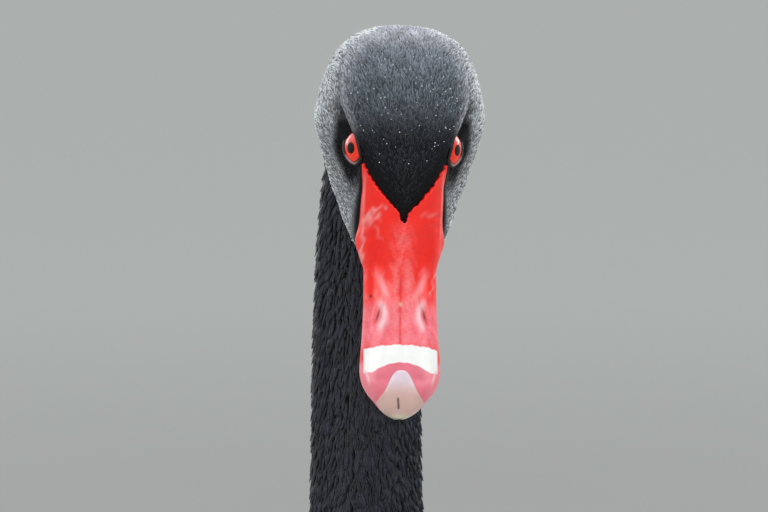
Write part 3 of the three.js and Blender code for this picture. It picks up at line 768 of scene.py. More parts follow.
def head_coat(skin, material):
    """Short velvety tufts, tips towards the nape, standing a little off the skin."""
    place = Place(skin.middle)
    s, x, h = to_head(skin.middle)
    bare = bareness(s, x, h)
    weight = (place.head > 0.15) * (bare < -0.3) * (eye_gap(skin.middle) > 5.0)
    root, normal = skin.roots(weight.astype(float), TUFT_SPACING)
    place = Place(root)
    way = place.lie(normal)
    s, x, h = to_head(root)
    bare_here = bareness(s, x, h)
    edge = step(-bare_here, 0.2, 9)
    count = len(root)
    small = np.minimum(edge, step(eye_gap(root), 5, 11))
    cheek = face_sides(place)[2] * place.face
    length = mix(1.3, 2.7, small) * RNG.uniform(0.75, 1.25, count) * mix(1, 0.75, cheek)
    length *= mix(1, 1.4, place.neck)
    half = mix(0.22, 0.29, small) * RNG.uniform(0.8, 1.25, count) * mix(1, 1.25, cheek)
    swing = (RNG.normal(0, 1, count) * mix(0.34, 0.5, cheek))[:, None]
    ahead = (bare_here > -1.7) & (np.abs(x) < 2.6) & (s > 20) & (RNG.random(count) < 0.7)
    way = unit(np.where(ahead[:, None], -way, way) + np.cross(normal, way) * swing)
    peak = step(-s, 26, 44) * place.face
    lift = (RNG.uniform(0.1, 0.34, count) + 0.1 * (1 - small) + 0.22 * peak)[:, None]
    along = np.array([0, 0.55, 1.0])
    rise = lift[:, None] * (along - 0.35 * along**2)[None, :, None]
    path = root[:, None] + length[:, None, None] * (
        way[:, None] * along[None, :, None] + normal[:, None] * rise
    ) - normal[:, None] * 0.35
    rings = plume_rings(
        path,
        np.repeat(normal[:, None], 3, 1),
        half[:, None] * np.array([0.8, 1, 0.12]),
        half[:, None] * np.array([0.7, 0.75, 0.1]),
        3,
    )
    base = markings(place)
    stray = (RNG.random(count) < 0.75 * step(place.neck, 0.05, 0.7))[:, None]
    base = mix(base, BLACK_FEATHER, stray * 0.85)
    grain = np.exp(RNG.normal(0, 0.2, count))
    clump = np.sin(root @ [2.1, 1.3, 0.7]) * np.sin(root @ [-0.9, 2.3, 1.9]) * np.sin(root @ [1.1, -1.7, 2.6])
    dark = (RNG.random(count) < (0.16 + 0.7 * step(clump, 0.25, 0.7)) * cheek) * 0.74
    grain = (grain * (1 - dark))[:, None]
    tips = np.array([0.82, 1.0, 1.15])[None, :, None, None]
    tint = (base * grain)[:, None, None] * tips + np.zeros((count, 3, 3, 3))
    return coat_pieces("head_coat", rings, np.clip(tint, 0, BRIGHTEST), place.unwrap(), material)


def contour_coat(name, skin, material, region, spacing, long, wide, rough, rows):
    """Feathers laid along the skin.

    region gives each face's weight; long and wide give millimetres from each root's place.
    """
    root, normal = skin.roots(region(Place(skin.middle), skin.middle), spacing)
    place = Place(root)
    way = place.lie(normal)
    count = len(root)
    way = unit(way + np.cross(normal, way) * RNG.normal(0, rough, count)[:, None])
    length = long(place) * RNG.uniform(0.8, 1.2, count)
    half = wide(place) * RNG.uniform(0.85, 1.15, count) / 2
    path, normals = [root], [normal]
    for _ in range(rows - 1):
        ahead = path[-1] + way * (length / (rows - 1))[:, None]
        here, face = skin.snap(ahead)
        way = unit(way - face * np.sum(way * face, 1, keepdims=True))
        path.append(here)
        normals.append(face)
    path, normals = np.stack(path, 1), np.stack(normals, 1)
    along = np.linspace(0, 1, rows)
    thick = mix(0.5, 0.9, np.clip(length / 30, 0, 1))
    tip_lift = 2.4 + RNG.uniform(0, 1.5, count)[:, None]
    rise = -0.8 + along[None] * tip_lift * mix(0.6, 1.2, length / 30)[:, None]
    path = path + normals * rise[..., None]
    outline = smooth(OUTLINE, along)[:, 0]
    rings = plume_rings(path, normals, half[:, None] * outline, thick[:, None] * np.sqrt(outline) * 0.8, 4)
    grain = np.exp(RNG.normal(0, 0.36, count))[:, None, None, None]
    edges = np.array([1.15, 0.8, 1.15, 0.8])[None, None, :, None]
    fringe = mix(0.7, 2.2, along**2)[None, :, None, None] * edges
    tint = markings(place)[:, None, None] * grain * fringe
    return coat_pieces(name, rings, np.clip(tint, 0, BRIGHTEST), place.unwrap(), material)


# Eyes, with s, x and h as on the left side
GAZE = (0.12, 0.866, 0.485)
PUPIL = 2.1  # radius, as the iris's
IRIS = 5.6
EYE_DISC = 6.9  # half width of the eyeball across the gaze
EYE_DEEP = 4.3  # half depth of it along the gaze
EYE_TURN = math.radians(13)  # the front corner of the lids is higher
LID_LONG = 5.3  # half length of the opening
LID_HIGH = 3.75
PUPIL_PLACE = (0.3, 20.3, 2.4)
PUPIL_SHIFT = (0.9, 0.5)  # of the pupil within the iris, towards the front corner and the crown


def eye_axes(side):
    s, x, h = GAZE
    gaze = unit(s * HEAD_S + side * x * HEAD_X + h * HEAD_H)
    along = unit(HEAD_S - gaze * (gaze @ HEAD_S))
    third = unit(HEAD_H - gaze * (gaze @ HEAD_H) - along * (along @ HEAD_H))
    turned = along * math.cos(EYE_TURN) + third * math.sin(EYE_TURN)
    return gaze, turned, third * math.cos(EYE_TURN) - along * math.sin(EYE_TURN)


def pupil_point(side):
    s, x, h = PUPIL_PLACE
    return from_head(np.array(s), np.array(side * x), np.array(h))


def eye_gap(points):
    """Rough distance from the middle of the nearer eye, measured shorter along the lids' long way."""
    gaps = []
    for side in SIDES:
        gaze, along, third = eye_axes(side)
        away = points - pupil_point(side)
        gaps.append(np.sqrt((away @ along / 1.22) ** 2 + (away @ third) ** 2 + (away @ gaze / 1.5) ** 2))
    return np.minimum(*gaps)


def eye_centre(side):
    return pupil_point(side) - eye_axes(side)[0] * EYE_DEEP


def ball_point(side, away, turn, lift):
    """A point lift off the eyeball, away radians from the gaze and turn round it from its front corner."""
    gaze, along, third = eye_axes(side)
    away, turn, lift = (np.asarray(v, float)[..., None] for v in np.broadcast_arrays(away, turn, lift))
    around = along * np.cos(turn) + third * np.sin(turn)
    ahead = gaze * np.cos(away) * (EYE_DEEP + lift)
    return eye_centre(side) + ahead + around * np.sin(away) * (EYE_DISC + lift)


def make_eye(side, material):
    edges = np.arcsin(np.array([PUPIL, IRIS]) / EYE_DISC)
    away = np.concatenate([
        np.linspace(0.01, edges[1] - 0.02, 60),
        np.linspace(edges[1] + 0.02, np.pi - 0.02, 30),
    ])[:, None]
    turn = turns(144)[None]
    rings = ball_point(side, away + 0 * turn, turn + 0 * away, -0.05)
    streak = 1 + 0.1 * np.sin(31 * turn) + 0.07 * np.sin(53 * turn + 1.3)
    deep = step(away, edges[0], edges[0] + 0.1) * (1 - 0.5 * step(away, edges[1] - 0.1, edges[1]))
    # Painted reflection of the sky: the iris is pink on its half towards the back corner
    sky_reflection = step(-np.cos(turn), -0.2, 0.9)[..., None]
    hue = mix(linear(255, 58, 34), linear(250, 122, 120), sky_reflection)
    iris = hue * (streak * mix(0.7, 1, deep))[..., None]
    offset = [v / EYE_DISC for v in PUPIL_SHIFT]
    across = np.hypot(np.sin(away) * np.cos(turn) - offset[0], np.sin(away) * np.sin(turn) - offset[1])
    pupil = step(-across * EYE_DISC, -PUPIL - 0.12, -PUPIL + 0.12) * (away < 1.2)
    tint = mix(iris, linear(3, 3, 5), pupil[..., None])
    opening = np.hypot(np.cos(turn) / (LID_LONG + 0.9), np.sin(turn) / (LID_HIGH + 0.5))
    beyond = opening * np.sin(away) * EYE_DISC
    tint = np.where(((away > edges[1]) | (beyond > 1))[..., None], linear(14, 10, 12), tint)
    points, polygons = grid_tube(rings, ball_point(side, 0, 0, -0.05), ball_point(side, np.pi, 0, 0))
    colours = np.vstack([tint.reshape(-1, 3), linear(4, 4, 6), linear(14, 10, 12)])
    return solid(f"eye_{SIDES[side]}_ball", points, polygons, material, colours)


def make_lids(side, material):
    """A fold of skin round the almond of the eye, its lower edge pale."""
    rows, sides = 120, 14
    turn = turns(rows)[:, None]
    around = turns(sides)[None]
    point = np.abs(np.cos(turn)) ** 5
    edge = LID_LONG * LID_HIGH / np.hypot(LID_HIGH * np.cos(turn), LID_LONG * np.sin(turn)) + 0.55 * point
    wide = 0.7 + 0.15 * point
    away = np.arcsin(np.clip((edge + wide) / EYE_DISC, 0, 0.9)) + wide / EYE_DISC * np.cos(around) * 1.1
    crease = 0.1 * np.sin(6 * around)
    lift = 0.25 + 0.45 * np.sin(around) + crease * (np.sin(around) > 0)
    rings = ball_point(side, away + 0 * around, turn + 0 * around, lift + 0 * turn)
    inner = step(-np.cos(around), 0.35, 0.9)
    below = step(-np.sin(turn), -0.25, 0.3) * step(np.cos(turn), 0.1, 0.6)
    pale = (inner * below)[..., None]
    tint = mix(linear(24, 22, 25), linear(186, 150, 150), pale * 0.8)
    last = (rows - 1) * sides
    walls = tube_polygons(1, rows, sides)[0][:last]
    here = np.arange(sides)
    after = (here + 1) % sides
    seam = np.stack([last + here, last + after, after, here], -1)
    polygons = [np.vstack([walls, seam])]
    name = f"eye_{SIDES[side]}_lids"
    return solid(name, rings.reshape(-1, 3), polygons, material, tint.reshape(-1, 3))


# Bill
MOUTH = [  # s and h
    (-2, -12.0),
    (20, -13.6),
    (30, -17.2),
    (45, -19.3),
    (60, -19.3),
    (75, -18.9),
    (88, -20),
    (104, -24.5),
]
LOWER_BILL = [  # s, top, bottom, half width
    (22, -14, -31, 12.4),
    (37, -15, -30, 12.8),
    (50, -17, -27, 12.2),
    (65, -17.5, -25.2, 12.2),
    (80, -18, -24.4, 12.6),
    (88, -18.8, -24, 10.4),
    (93, -20, -23.6, 6.4),
]
NOSTRIL = (60.5, 8.6)  # s and distance aside
BAR_START = 71.5  # s of the white bar's edges
BAR_SIDE_END = 81.4
BAR_MIDDLE_END = 78.0
NAIL_WIDTH = [  # s and half width
    (80.7, 0.6),
    (81.6, 2.3),
    (83.5, 3.7),
    (86, 4.9),
    (88.5, 6.2),
    (91, 8.2),
    (93, 9.6),
    (97.2, 9.8),
]


def bill_relief(s, x):
    """Ridges, grooves and nostrils of the upper bill, in millimetres out of its plain form."""
    aside = np.abs(x)
    culmen = 0.55 * bell(aside, 0, 3.4) * step(s, 24, 34) * step(-s, -66, -50)
    hollow = -0.75 * bell(aside, 7.6, 2.6) * step(s, 28, 38) * step(-s, -62, -50)
    groove = -0.22 * bell(aside, 0, 0.35) * step(s, 34, 40) * step(-s, -74, -66)
    fs, fx = s - NOSTRIL[0], aside - NOSTRIL[1]
    pit = -1.5 * np.exp(-((fs * 0.96 + fx * 0.28) / 3.9) ** 2 - ((fx * 0.96 - fs * 0.28) / 1.05) ** 2)
    rim = 0.45 * np.exp(-(fs / 6.2) ** 2 - ((fx + 2.4) / 1.1) ** 2)
    swell = 0.5 * bell(s, 58, 9) * bell(aside, 9, 3)
    shoulder = -0.35 * bell(s, 84.0, 1.6) * step(-aside, -12, -6)
    wrinkle = 0.14 * np.sin(1.7 * s + 0.5 * aside) * bell(aside, 11, 3.5) * bell(s, 27, 6)
    wrinkle = wrinkle + 0.1 * np.sin(3.1 * x + 0.5 * s) * np.sin(1.9 * s) * bell(aside, 0, 6) * bell(s, 62, 9)
    roll = 0.4 * bell(aside, 14.4, 0.9) * step(s, 9, 14) * step(-s, -35, -29)
    return culmen + hollow + groove + pit + rim + swell + shoulder + wrinkle + roll


# Painted highlights at the bill's base, pale and wet-looking: from x, s to x, s, half width, strength
BILL_GLINTS = [
    (-13.8, 26.4, -11.0, 23.4, 0.9, 0.7),
    (-11.0, 23.2, -7.4, 23.0, 0.7, 0.5),
    (-13.2, 27.6, -9.6, 26.4, 1.2, 0.7),
    (-10.0, 29.4, -8.2, 33.6, 0.6, 0.35),
    (-14.2, 28.0, -14.6, 40.0, 0.5, 0.6),
    (6.2, 26.0, 11.5, 24.6, 0.8, 0.28),
    (12.9, 44.0, 10.8, 52.0, 0.45, 0.5),
]


def stroke_gap(x, s, x0, s0, x1, s1):
    """Distance from the line between two places on the bill."""
    dx, ds = x1 - x0, s1 - s0
    share = np.clip(((x - x0) * dx + (s - s0) * ds) / (dx * dx + ds * ds), 0, 1)
    return np.hypot(x - x0 - share * dx, s - s0 - share * ds)


def bill_colour(s, x):
    """Orange-red at the base, pinker towards the tip, with the white bar."""
    aside = np.abs(x)
    tone = mix(linear(255, 32, 16), linear(238, 60, 60), step(s, 46, 66)[..., None])
    rosy = mix(linear(232, 118, 136), linear(244, 136, 150), step(aside, 8, 12)[..., None])
    tone = mix(tone, rosy, step(s, 76, 79)[..., None])
    swirl = np.sin(0.9 * s + 1.7 * np.sin(0.8 * x)) * np.sin(1.1 * x + 0.6 * np.sin(0.7 * s))
    fine = np.sin(3.3 * s + 2.1 * np.sin(1.9 * x)) * np.sin(3.7 * x + 1.3 * np.sin(2.3 * s))
    grit = 0.5 + 0.3 * fine + 0.3 * swirl
    middle = bell(x + 0.3, 0, 3.6) * step(s, 26, 33) * step(-s, -74, -66)
    patchy = 0.6 * step(swirl, 0.1, 0.9) * step(s, 38, 46) * step(-s, -66, -56)
    # Painted highlight along the rolled side edges
    side_highlight = 0.45 * bell(aside, 14.4, 0.42) * step(s, 8, 13) * step(-s, -35, -29)
    band = bell(x, -2.4, 0.95) + bell(x, 2.0, 1.5)
    band = band * step(s, 40, 46) * step(-s, -73, -70)
    # Painted highlights where the culmen's ridge meets the hollows
    crest_highlight = bell(aside, 7.6 - 0.4 * (s - 48), 1.35) * bell(s, 50.5, 5.2)
    # Painted shade along the central groove
    furrow_shade = 0.85 * bell(x + 0.5, 0, 0.42) * step(s, 44, 50) * step(-s, -73, -70)
    deep = bell(aside, 9.6, 2.6) * bell(s, 38, 7) * (0.7 + 0.4 * swirl)
    # Painted highlight on the raised inner rim of each nostril
    ring = np.hypot((s - NOSTRIL[0]) / 1.4, aside - NOSTRIL[1] - 0.6)
    rim = bell(ring, 3.0, 1.35) * step(-aside, -NOSTRIL[1] - 1.2, -NOSTRIL[1] + 1.2)
    wave = 0.14 * np.sin(1.1 * x + 0.5) + 0.1 * np.sin(2.9 * x)
    start = BAR_START + wave + 0.0065 * x * x
    arch = mix(BAR_MIDDLE_END, BAR_SIDE_END, np.clip(aside / 10.5, 0, 1) ** 2) + 0.08 * np.sin(1.7 * x)
    bar = step(s, start - 0.25, start + 0.25) * step(-s, -arch - 0.3, -arch + 0.3)
    tail = bell(aside, 12.8 - 0.3 * (s - 81), 0.5) * step(s, 80, 81) * step(-s, -87, -83)
    layers = [
        ((255, 122, 122), grit * middle * mix(0.95, 0.6, step(s, 34, 50))),
        ((253, 140, 156), (0.3 + 0.55 * grit) * step(s, 52, 60) * step(-s, -74, -70)),
        ((255, 96, 92), patchy),
        ((255, 150, 146), side_highlight),
    ]
    bent_x = x + 0.5 * np.sin(1.2 * s + 0.7 * x)
    bent_s = s + 0.5 * np.sin(1.5 * x + 0.6 * s)
    for x0, s0, x1, s1, wide, share in BILL_GLINTS:
        glint = bell(stroke_gap(bent_x, bent_s, x0, s0, x1, s1), 0, wide)
        layers.append(((255, 168, 168), share * glint * (0.75 + 0.5 * swirl)))
    layers += [
        ((255, 134, 140), band * (0.5 + 0.35 * fine)),
        ((255, 160, 166), 0.75 * crest_highlight),
        ((232, 34, 34), furrow_shade),
        ((248, 18, 4), deep),
        ((255, 205, 210), 0.85 * rim),
        ((30, 12, 12), bell(np.hypot(x + 11.2, s - 53.2), 0, 0.5)),
        ((238, 176, 150), bell(np.hypot(x + 0.4, s - 56.8), 0, 0.8)),
        ((248, 248, 245), bar * step(-aside, -13.9, -13.2)),
        ((250, 205, 212), 0.85 * tail),
    ]
    for colour, share in layers:
        tone = mix(tone, linear(*colour), np.clip(share, 0, 1)[..., None])
    return tone


def mouth_angle(s):
    """The angle, on the bird's left, where the bill's outline meets the line of the mouth."""
    level = smooth(MOUTH, s)[..., 0] + 0.12
    low, high = np.full_like(s, -np.pi / 2), np.full_like(s, np.pi / 3)
    for _ in range(30):
        middle = (low + high) / 2
        under = skull_section(s, middle)[1] < level
        low, high = np.where(under, middle, low), np.where(under, high, middle)
    return high


def upper_bill_mesh():
    fine = np.linspace(BAR_START - 1, BAR_SIDE_END + 1, 110)
    tip = BILL_TIP - 0.25
    s = np.concatenate([
        np.linspace(2.0, fine[0] - 0.3, 220),
        fine,
        fine[-1] + 0.15 + (tip - fine[-1] - 0.15) * np.sin(np.linspace(0.02, np.pi / 2, 80)),
    ])
    start = mouth_angle(s)[:, None]
    u = np.linspace(0, 1, 170)[None]
    angle = mix(start, np.pi - start, u)
    s_grid = s[:, None] + 0 * angle
    x, h = skull_section(s_grid, angle)
    bare = bareness(s_grid, x, h)
    relief = bill_relief(s_grid, x) * step(bare, 0, 4)
    edge = 0.35 * (bell(u, 0, 0.03) + bell(u, 1, 0.03)) * step(s_grid, 34, 44) * step(-s_grid, -92, -84)
    gape = 1.7 * bell(s_grid, 31.0, 4.5) * (bell(u, 0, 0.07) + bell(u, 1, 0.07))
    grow = mix(-2.4, 0.0, step(bare, -0.25, 0.25)) + relief + edge + gape
    x, h = skull_section(s_grid, angle, grow)
    outer = from_head(s_grid, x, h)
    v = np.linspace(0, 1, 22)[None, 1:-1]
    inner_x = mix(x[:, -1:], x[:, :1], v)
    inner_h = mix(h[:, -1:], h[:, :1], v) + 1.2 * np.sin(np.pi * v) * step(-s, -90, -80)[:, None]
    inner = from_head(s[:, None] + 0 * inner_x, inner_x, inner_h)
    rings = np.concatenate([outer, inner], 1)
    tint = bill_colour(s_grid, x)
    slit = np.exp(-((s_grid - NOSTRIL[0]) / 2.4) ** 2
                  - ((np.abs(x) - NOSTRIL[1] - 0.3 * (s_grid - NOSTRIL[0])) / 0.42) ** 2)
    tint = mix(tint, linear(120, 48, 36), np.clip(slit, 0, 1)[..., None])
    tint = mix(tint, linear(120, 22, 20), (0.7 * (bell(u, 0, 0.012) + bell(u, 1, 0.012)))[..., None])
    inside = np.broadcast_to(linear(150, 40, 36), inner.shape)
    return rings, np.concatenate([tint, inside], 1)


def closed_grid(name, rings, tint, material):
    """One closed piece from rings, with a point in the middle of each end."""
    ends = [rings[0].mean(0), rings[-1].mean(0)]
    points, polygons = grid_tube(rings, *ends)
    colours = np.vstack([tint.reshape(-1, 3), tint[0].mean(0), tint[-1].mean(0)])
    return solid(name, points, polygons, material, colours)


def make_bill(materials):
    rings, tint = upper_bill_mesh()
    upper = closed_grid("bill_upper_horn", rings, tint, materials["bill"])
    nail = nail_piece(materials["nail"])
    s = np.linspace(20, 92.6, 150)
    angle = turns(96)[None]
    top, bottom, half = (v[:, None] for v in smooth(LOWER_BILL, s).T)
    c, q = rounded(angle, 2.4)
    round_end = cap(93.0 - s, 5)[:, None]
    x = half * c * mix(0.75, 1, round_end) * 0.985
    h = (top + bottom) / 2 + (top - bottom) / 2 * q * mix(0.6, 1, round_end) * 0.97
    keel = -0.5 * bell(angle, 1.5 * np.pi, 0.35) * step(-s, -88, -70)[:, None]
    side_groove = 0.5 * (bell(angle, np.pi * 1.12, 0.16) + bell(angle, np.pi * 1.88, 0.16))
    x = x * (1 - 0.03 * side_groove)
    rings = from_head(s[:, None] + 0 * x, x, h + keel)
    rosy = step(s, 60, 88)[:, None, None]
    tint = mix(linear(205, 30, 22), linear(212, 96, 100), rosy) * np.ones((1, angle.shape[1], 1))
    # Painted shade in the side grooves
    tint = tint * mix(1, 0.8, side_groove)[..., None]
    lower = closed_grid("bill_lower_horn", rings, tint, materials["bill"])
    return upper, nail, lower


def nail_piece(material):
    """The pale nail: a domed shield that widens into the tip and hooks a little over it."""
    start, end = NAIL_WIDTH[0][0], NAIL_WIDTH[-1][0]
    s = start + (end - start) * np.sin(np.linspace(0.01, np.pi / 2, 90))[:, None]
    v = np.sin(np.linspace(-np.pi / 2, np.pi / 2, 90))[None]
    top, waist, half, _ = np.moveaxis(smooth(SKULL, np.minimum(s, BILL_TIP)), -1, 0)
    reach = half * cap(BILL_TIP + 0.5 - s, 3.5)
    width = np.minimum(smooth(NAIL_WIDTH, s)[..., 0], 0.985 * reach)
    x = width * v
    rise = np.sqrt(cap(BILL_TIP + 0.5 - s, 3.5))
    q = (1 - np.abs(x / np.maximum(reach, 0.3)) ** 2.15).clip(0, 1) ** (1 / 2.15)
    h = waist + (top - waist) * rise * q
    dome = 0.7 * np.sqrt(np.clip(1 - v**6, 0, 1)) * cap(s - start, 1.6) - 0.2
    slit = bell(x + 0.9 - 0.12 * (s - 92.6), 0, 0.36) * step(s, 90.6, 91.1) * step(-s, -94.8, -94.2)
    upper = from_head(s + 0 * v, x, h + dome - 0.3 * slit)
    under = from_head(s + 0 * v, 0.97 * x, h - 1.5)
    tint = mix(linear(226, 208, 220), linear(216, 178, 168), step(s, 83, 90.5)[..., None])
    tint = mix(tint, linear(216, 208, 182), step(s, 95.6, 96.8)[..., None]) + 0 * v[..., None]
    tint = mix(tint, linear(36, 8, 14), slit[..., None])
    rings = np.concatenate([upper, under[:, ::-1]], 1)
    return closed_grid("bill_nail_horn", rings, np.concatenate([tint, tint[:, ::-1]], 1), material)


# Wings: a guide surface over the flank, with rows of y, top, waist, low, half width
WING_GUIDE = [
    (-190, 178, 128, 70, 92),
    (-140, 200, 122, 46, 112),
    (-70, 218, 116, 30, 126),
    (10, 226, 116, 26, 132),
    (90, 222, 120, 34, 126),
    (160, 210, 126, 52, 110),
    (225, 194, 134, 78, 86),
    (285, 178, 142, 104, 58),
    (345, 164, 148, 128, 34),
]
WING_EDGE = [  # y, lowest and highest degrees
    (-178, 8, 34),
    (-160, -10, 54),
    (-110, -24, 66),
    (-30, -30, 76),
    (50, -30, 82),
    (140, -24, 83),
    (210, -14, 80),
    (262, -4, 66),
]
WING_THICK = 10.0
WHITE_FEATHER = linear(226, 224, 218)
COVERT = linear(29, 28, 31)
VANE_COLUMNS = np.array([-1, -0.66, -0.33, -0.05, 0.05, 0.33, 0.66, 1])  # places across a feather
VANE_OUTLINE = [(0, 0.42), (0.2, 0.8), (0.5, 1), (0.76, 0.95), (0.9, 0.72), (0.97, 0.42), (1, 0.12)]
# Tiers of feathers: count, root and end (y, degrees) of the row of roots, length, width, change of degrees,
# sink and lift, curl at the tip, wave along the edge, colour
WING_TIERS = [
    (9, (104, -6), (146, 36), (204, 178), (19, 22), (9, 2), (-4.5, -0.5), 0, 0, "white"),
    (11, (18, -26), (92, 24), (146, 158), (25, 28), (4, 6), (-4, 0.5), 0, 0.4, "dark"),
    (10, (10, 26), (52, 78), (190, 178), (38, 34), (3, -6), (-3, 5.5), 11, 2.6, "dark"),
    (10, (-2, -27), (40, 50), (118, 130), (30, 34), (2, 2), (-3.5, 2.8), 2, 0.8, "dark"),
    (9, (-40, 34), (10, 80), (118, 116), (36, 32), (2, -4), (-3, 6), 8, 2.2, "dark"),
    (12, (-44, -27), (-24, 62), (86, 92), (26, 30), (1, 2), (-3, 4.2), 2, 0.8, "dark"),
    (12, (-82, -25), (-62, 66), (70, 76), (25, 27), (0, 2), (-3, 4.4), 1.5, 0.6, "dark"),
    (11, (-112, -20), (-98, 62), (56, 62), (23, 25), (-1, 2), (-3, 4.2), 1, 0.5, "dark"),
    (10, (-138, -13), (-130, 56), (46, 50), (21, 23), (-1, 2), (-3, 3.8), 0.5, 0.4, "dark"),
    (8, (-160, -6), (-154, 50), (38, 42), (19, 21), (-2, 2), (-3, 3.2), 0.5, 0.3, "dark"),
]


def guide_frame(y, degrees, side):
    """A place on the guide with its outward and upward directions, mirrored for the right wing."""

    def at(y, degrees):
        top, waist, low, half = np.moveaxis(smooth(WING_GUIDE, y), -1, 0)
        c, s = rounded(np.radians(degrees), 2.1)
        return np.stack([half * c, y + 0 * c, waist + np.where(s >= 0, top - waist, waist - low) * s], -1)

    point = at(y, degrees)
    up = unit(at(y, degrees + 0.5) - point)
    back = unit(at(y + 0.5, degrees) - point)
    out = unit(np.cross(back, up))
    out = out * np.sign(out[..., :1] + 1e-9)
    flip = np.array([side, 1, 1])
    return point * flip, up * flip, out * flip


def big_vanes(frames, width, thick, camber, wave, phase):
    """Flat feathers with a rib, from frames (point, up, out), each (n, rows, 3)."""
    point, up, out = frames
    rows = point.shape[1]
    along = np.linspace(0, 1, rows) ** 0.9
    half = width[:, None] / 2 * smooth(VANE_OUTLINE, along)[:, 0][None]
    columns = VANE_COLUMNS[None, None, :]
    ripple = wave[:, None, None] * np.abs(columns) ** 2 * (along**1.5)[None, :, None]
    ripple = ripple * np.sin(9 * along[None, :, None] + phase[:, None, None] + 1.7 * np.sign(columns))
    bend = -camber * columns**2 * (half / (width[:, None] / 2))[..., None] + ripple
    rib = np.where(np.abs(columns) < 0.1, 0.45, 0.0) * (1 - 0.7 * along)[None, :, None]
    body = thick * (1 - np.abs(columns)) ** 0.5 * (1 - 0.5 * along)[None, :, None] + 0.06
    aside = up[:, :, None] * (half[..., None] * columns)[..., None]
    upper = point[:, :, None] + aside + out[:, :, None] * (bend + rib)[..., None]
    under = point[:, :, None] + aside + out[:, :, None] * (bend - body)[..., None]
    return np.concatenate([upper, under[:, :, -2:0:-1]], 2)


def vane_tint(base, count, rows, fringe):
    """Darker at the root and along the rib, paler at the fringe."""
    along = np.linspace(0, 1, rows)[None, :, None]
    columns = np.concatenate([VANE_COLUMNS, VANE_COLUMNS[-2:0:-1]])[None, None]
    edge = np.clip(np.abs(columns) ** 3 * (0.3 + 0.7 * along) + along**5, 0, 1)
    grain = np.exp(RNG.normal(0, 0.16, (count, 1, 1)))
    return base * (grain * mix(0.8, fringe, edge))[..., None]


def wing_base(side):
    """The covered inner part of the folded wing, a thick closed sheet."""
    u = np.linspace(0, 1, 50)[:, None]
    v = np.linspace(0, 1, 30)[None]
    y = mix(WING_EDGE[0][0] + 3, WING_EDGE[-1][0] - 3, u) + 0 * v
    low, high = np.moveaxis(smooth(WING_EDGE, y), -1, 0)
    point, _, out = guide_frame(y, mix(low + 1.5, high - 1.5, v), side)
    plump = np.sin(np.pi * mix(0.08, 0.92, v)) ** 0.6 * cap(y - WING_EDGE[0][0] + 6, 60) * mix(1, 0.45, u)
    depth = mix(2.4, WING_THICK + 3, plump)
    upper = point - out * 1.2
    under = point - out * depth[..., None]
    return np.concatenate([upper, under[:, ::-1]], 1)


def make_wing(side, materials):
    label = SIDES[side]
    rows = 15
    made = []
    groups = {"white": [], "dark": []}
    for count, root, end, long, wide, turn, rise, curl, wave, colour in WING_TIERS:
        share = (np.arange(count) + RNG.uniform(-0.12, 0.12, count)) / (count - 1)
        along = np.linspace(0, 1, rows) ** 0.9
        length = mix(long[0], long[1], share) * RNG.uniform(0.96, 1.04, count)
        y = (mix(root[0], end[0], share) + RNG.normal(0, 2.5, count))[:, None] + length[:, None] * along
        degrees = mix(root[1], end[1], share)[:, None] + mix(turn[0], turn[1], share)[:, None] * along
        point, up, out = guide_frame(y, degrees, side)
        sway = RNG.uniform(0.4, 1.2, count)[:, None]
        lift = mix(rise[0], rise[1], np.clip(1.6 * along, 0, 1))[None] + curl * sway * along**4
        lift = lift + np.where(np.arange(count) % 2, 0.35, 0)[:, None]
        point = point + out * lift[..., None]
        width = mix(wide[0], wide[1], share) * RNG.uniform(0.95, 1.05, count)
        phase = RNG.uniform(0, 6.3, count)
        rings = big_vanes((point, up, out), width, 0.9, 1.9, wave * RNG.uniform(0.5, 1.3, count), phase)
        if side > 0:
            rings = rings[:, :, ::-1]
        base, fringe = (WHITE_FEATHER, 0.95) if colour == "white" else (COVERT, 2.3)
        tint = vane_tint(base, count, rows, fringe)
        if side > 0:
            tint = tint[:, :, ::-1]
        place = np.stack([0.03 + 0.94 * (y[:, 0] + 200) / 400, 0.03 + 0.94 * (degrees[:, 0] + 40) / 130], -1)
        groups[colour].append((rings, tint, place))
    for colour, parts in groups.items():
        rings, tint, place = (np.concatenate(p) for p in zip(*parts))
        name = f"wing_{label}_{'flight' if colour == 'white' else 'coverts'}"
        material = materials["white" if colour == "white" else "vane"]
        made += coat_pieces(name, rings, tint, place, material)
    sheet = wing_base(side)
    # Painted shade: the covered sheet is a darker copy of the coverts' colour
    shade = np.broadcast_to(COVERT * 0.6, sheet.shape)
    inner = closed_grid(f"wing_{label}_base", sheet, shade, materials["plumage"])
    return made, inner


# Tail
TAIL_ROOT = np.array([0.0, 250.0, 117.0])
TAIL_TIERS = [  # count, spread, length, width, start forward of the root, lift
    (12, 33, 110, 27, 0, 0),
    (10, 30, 74, 25, -8, 4),
    (9, 26, 62, 26, -20, 9),
    (8, 22, 54, 28, -34, 15),
]


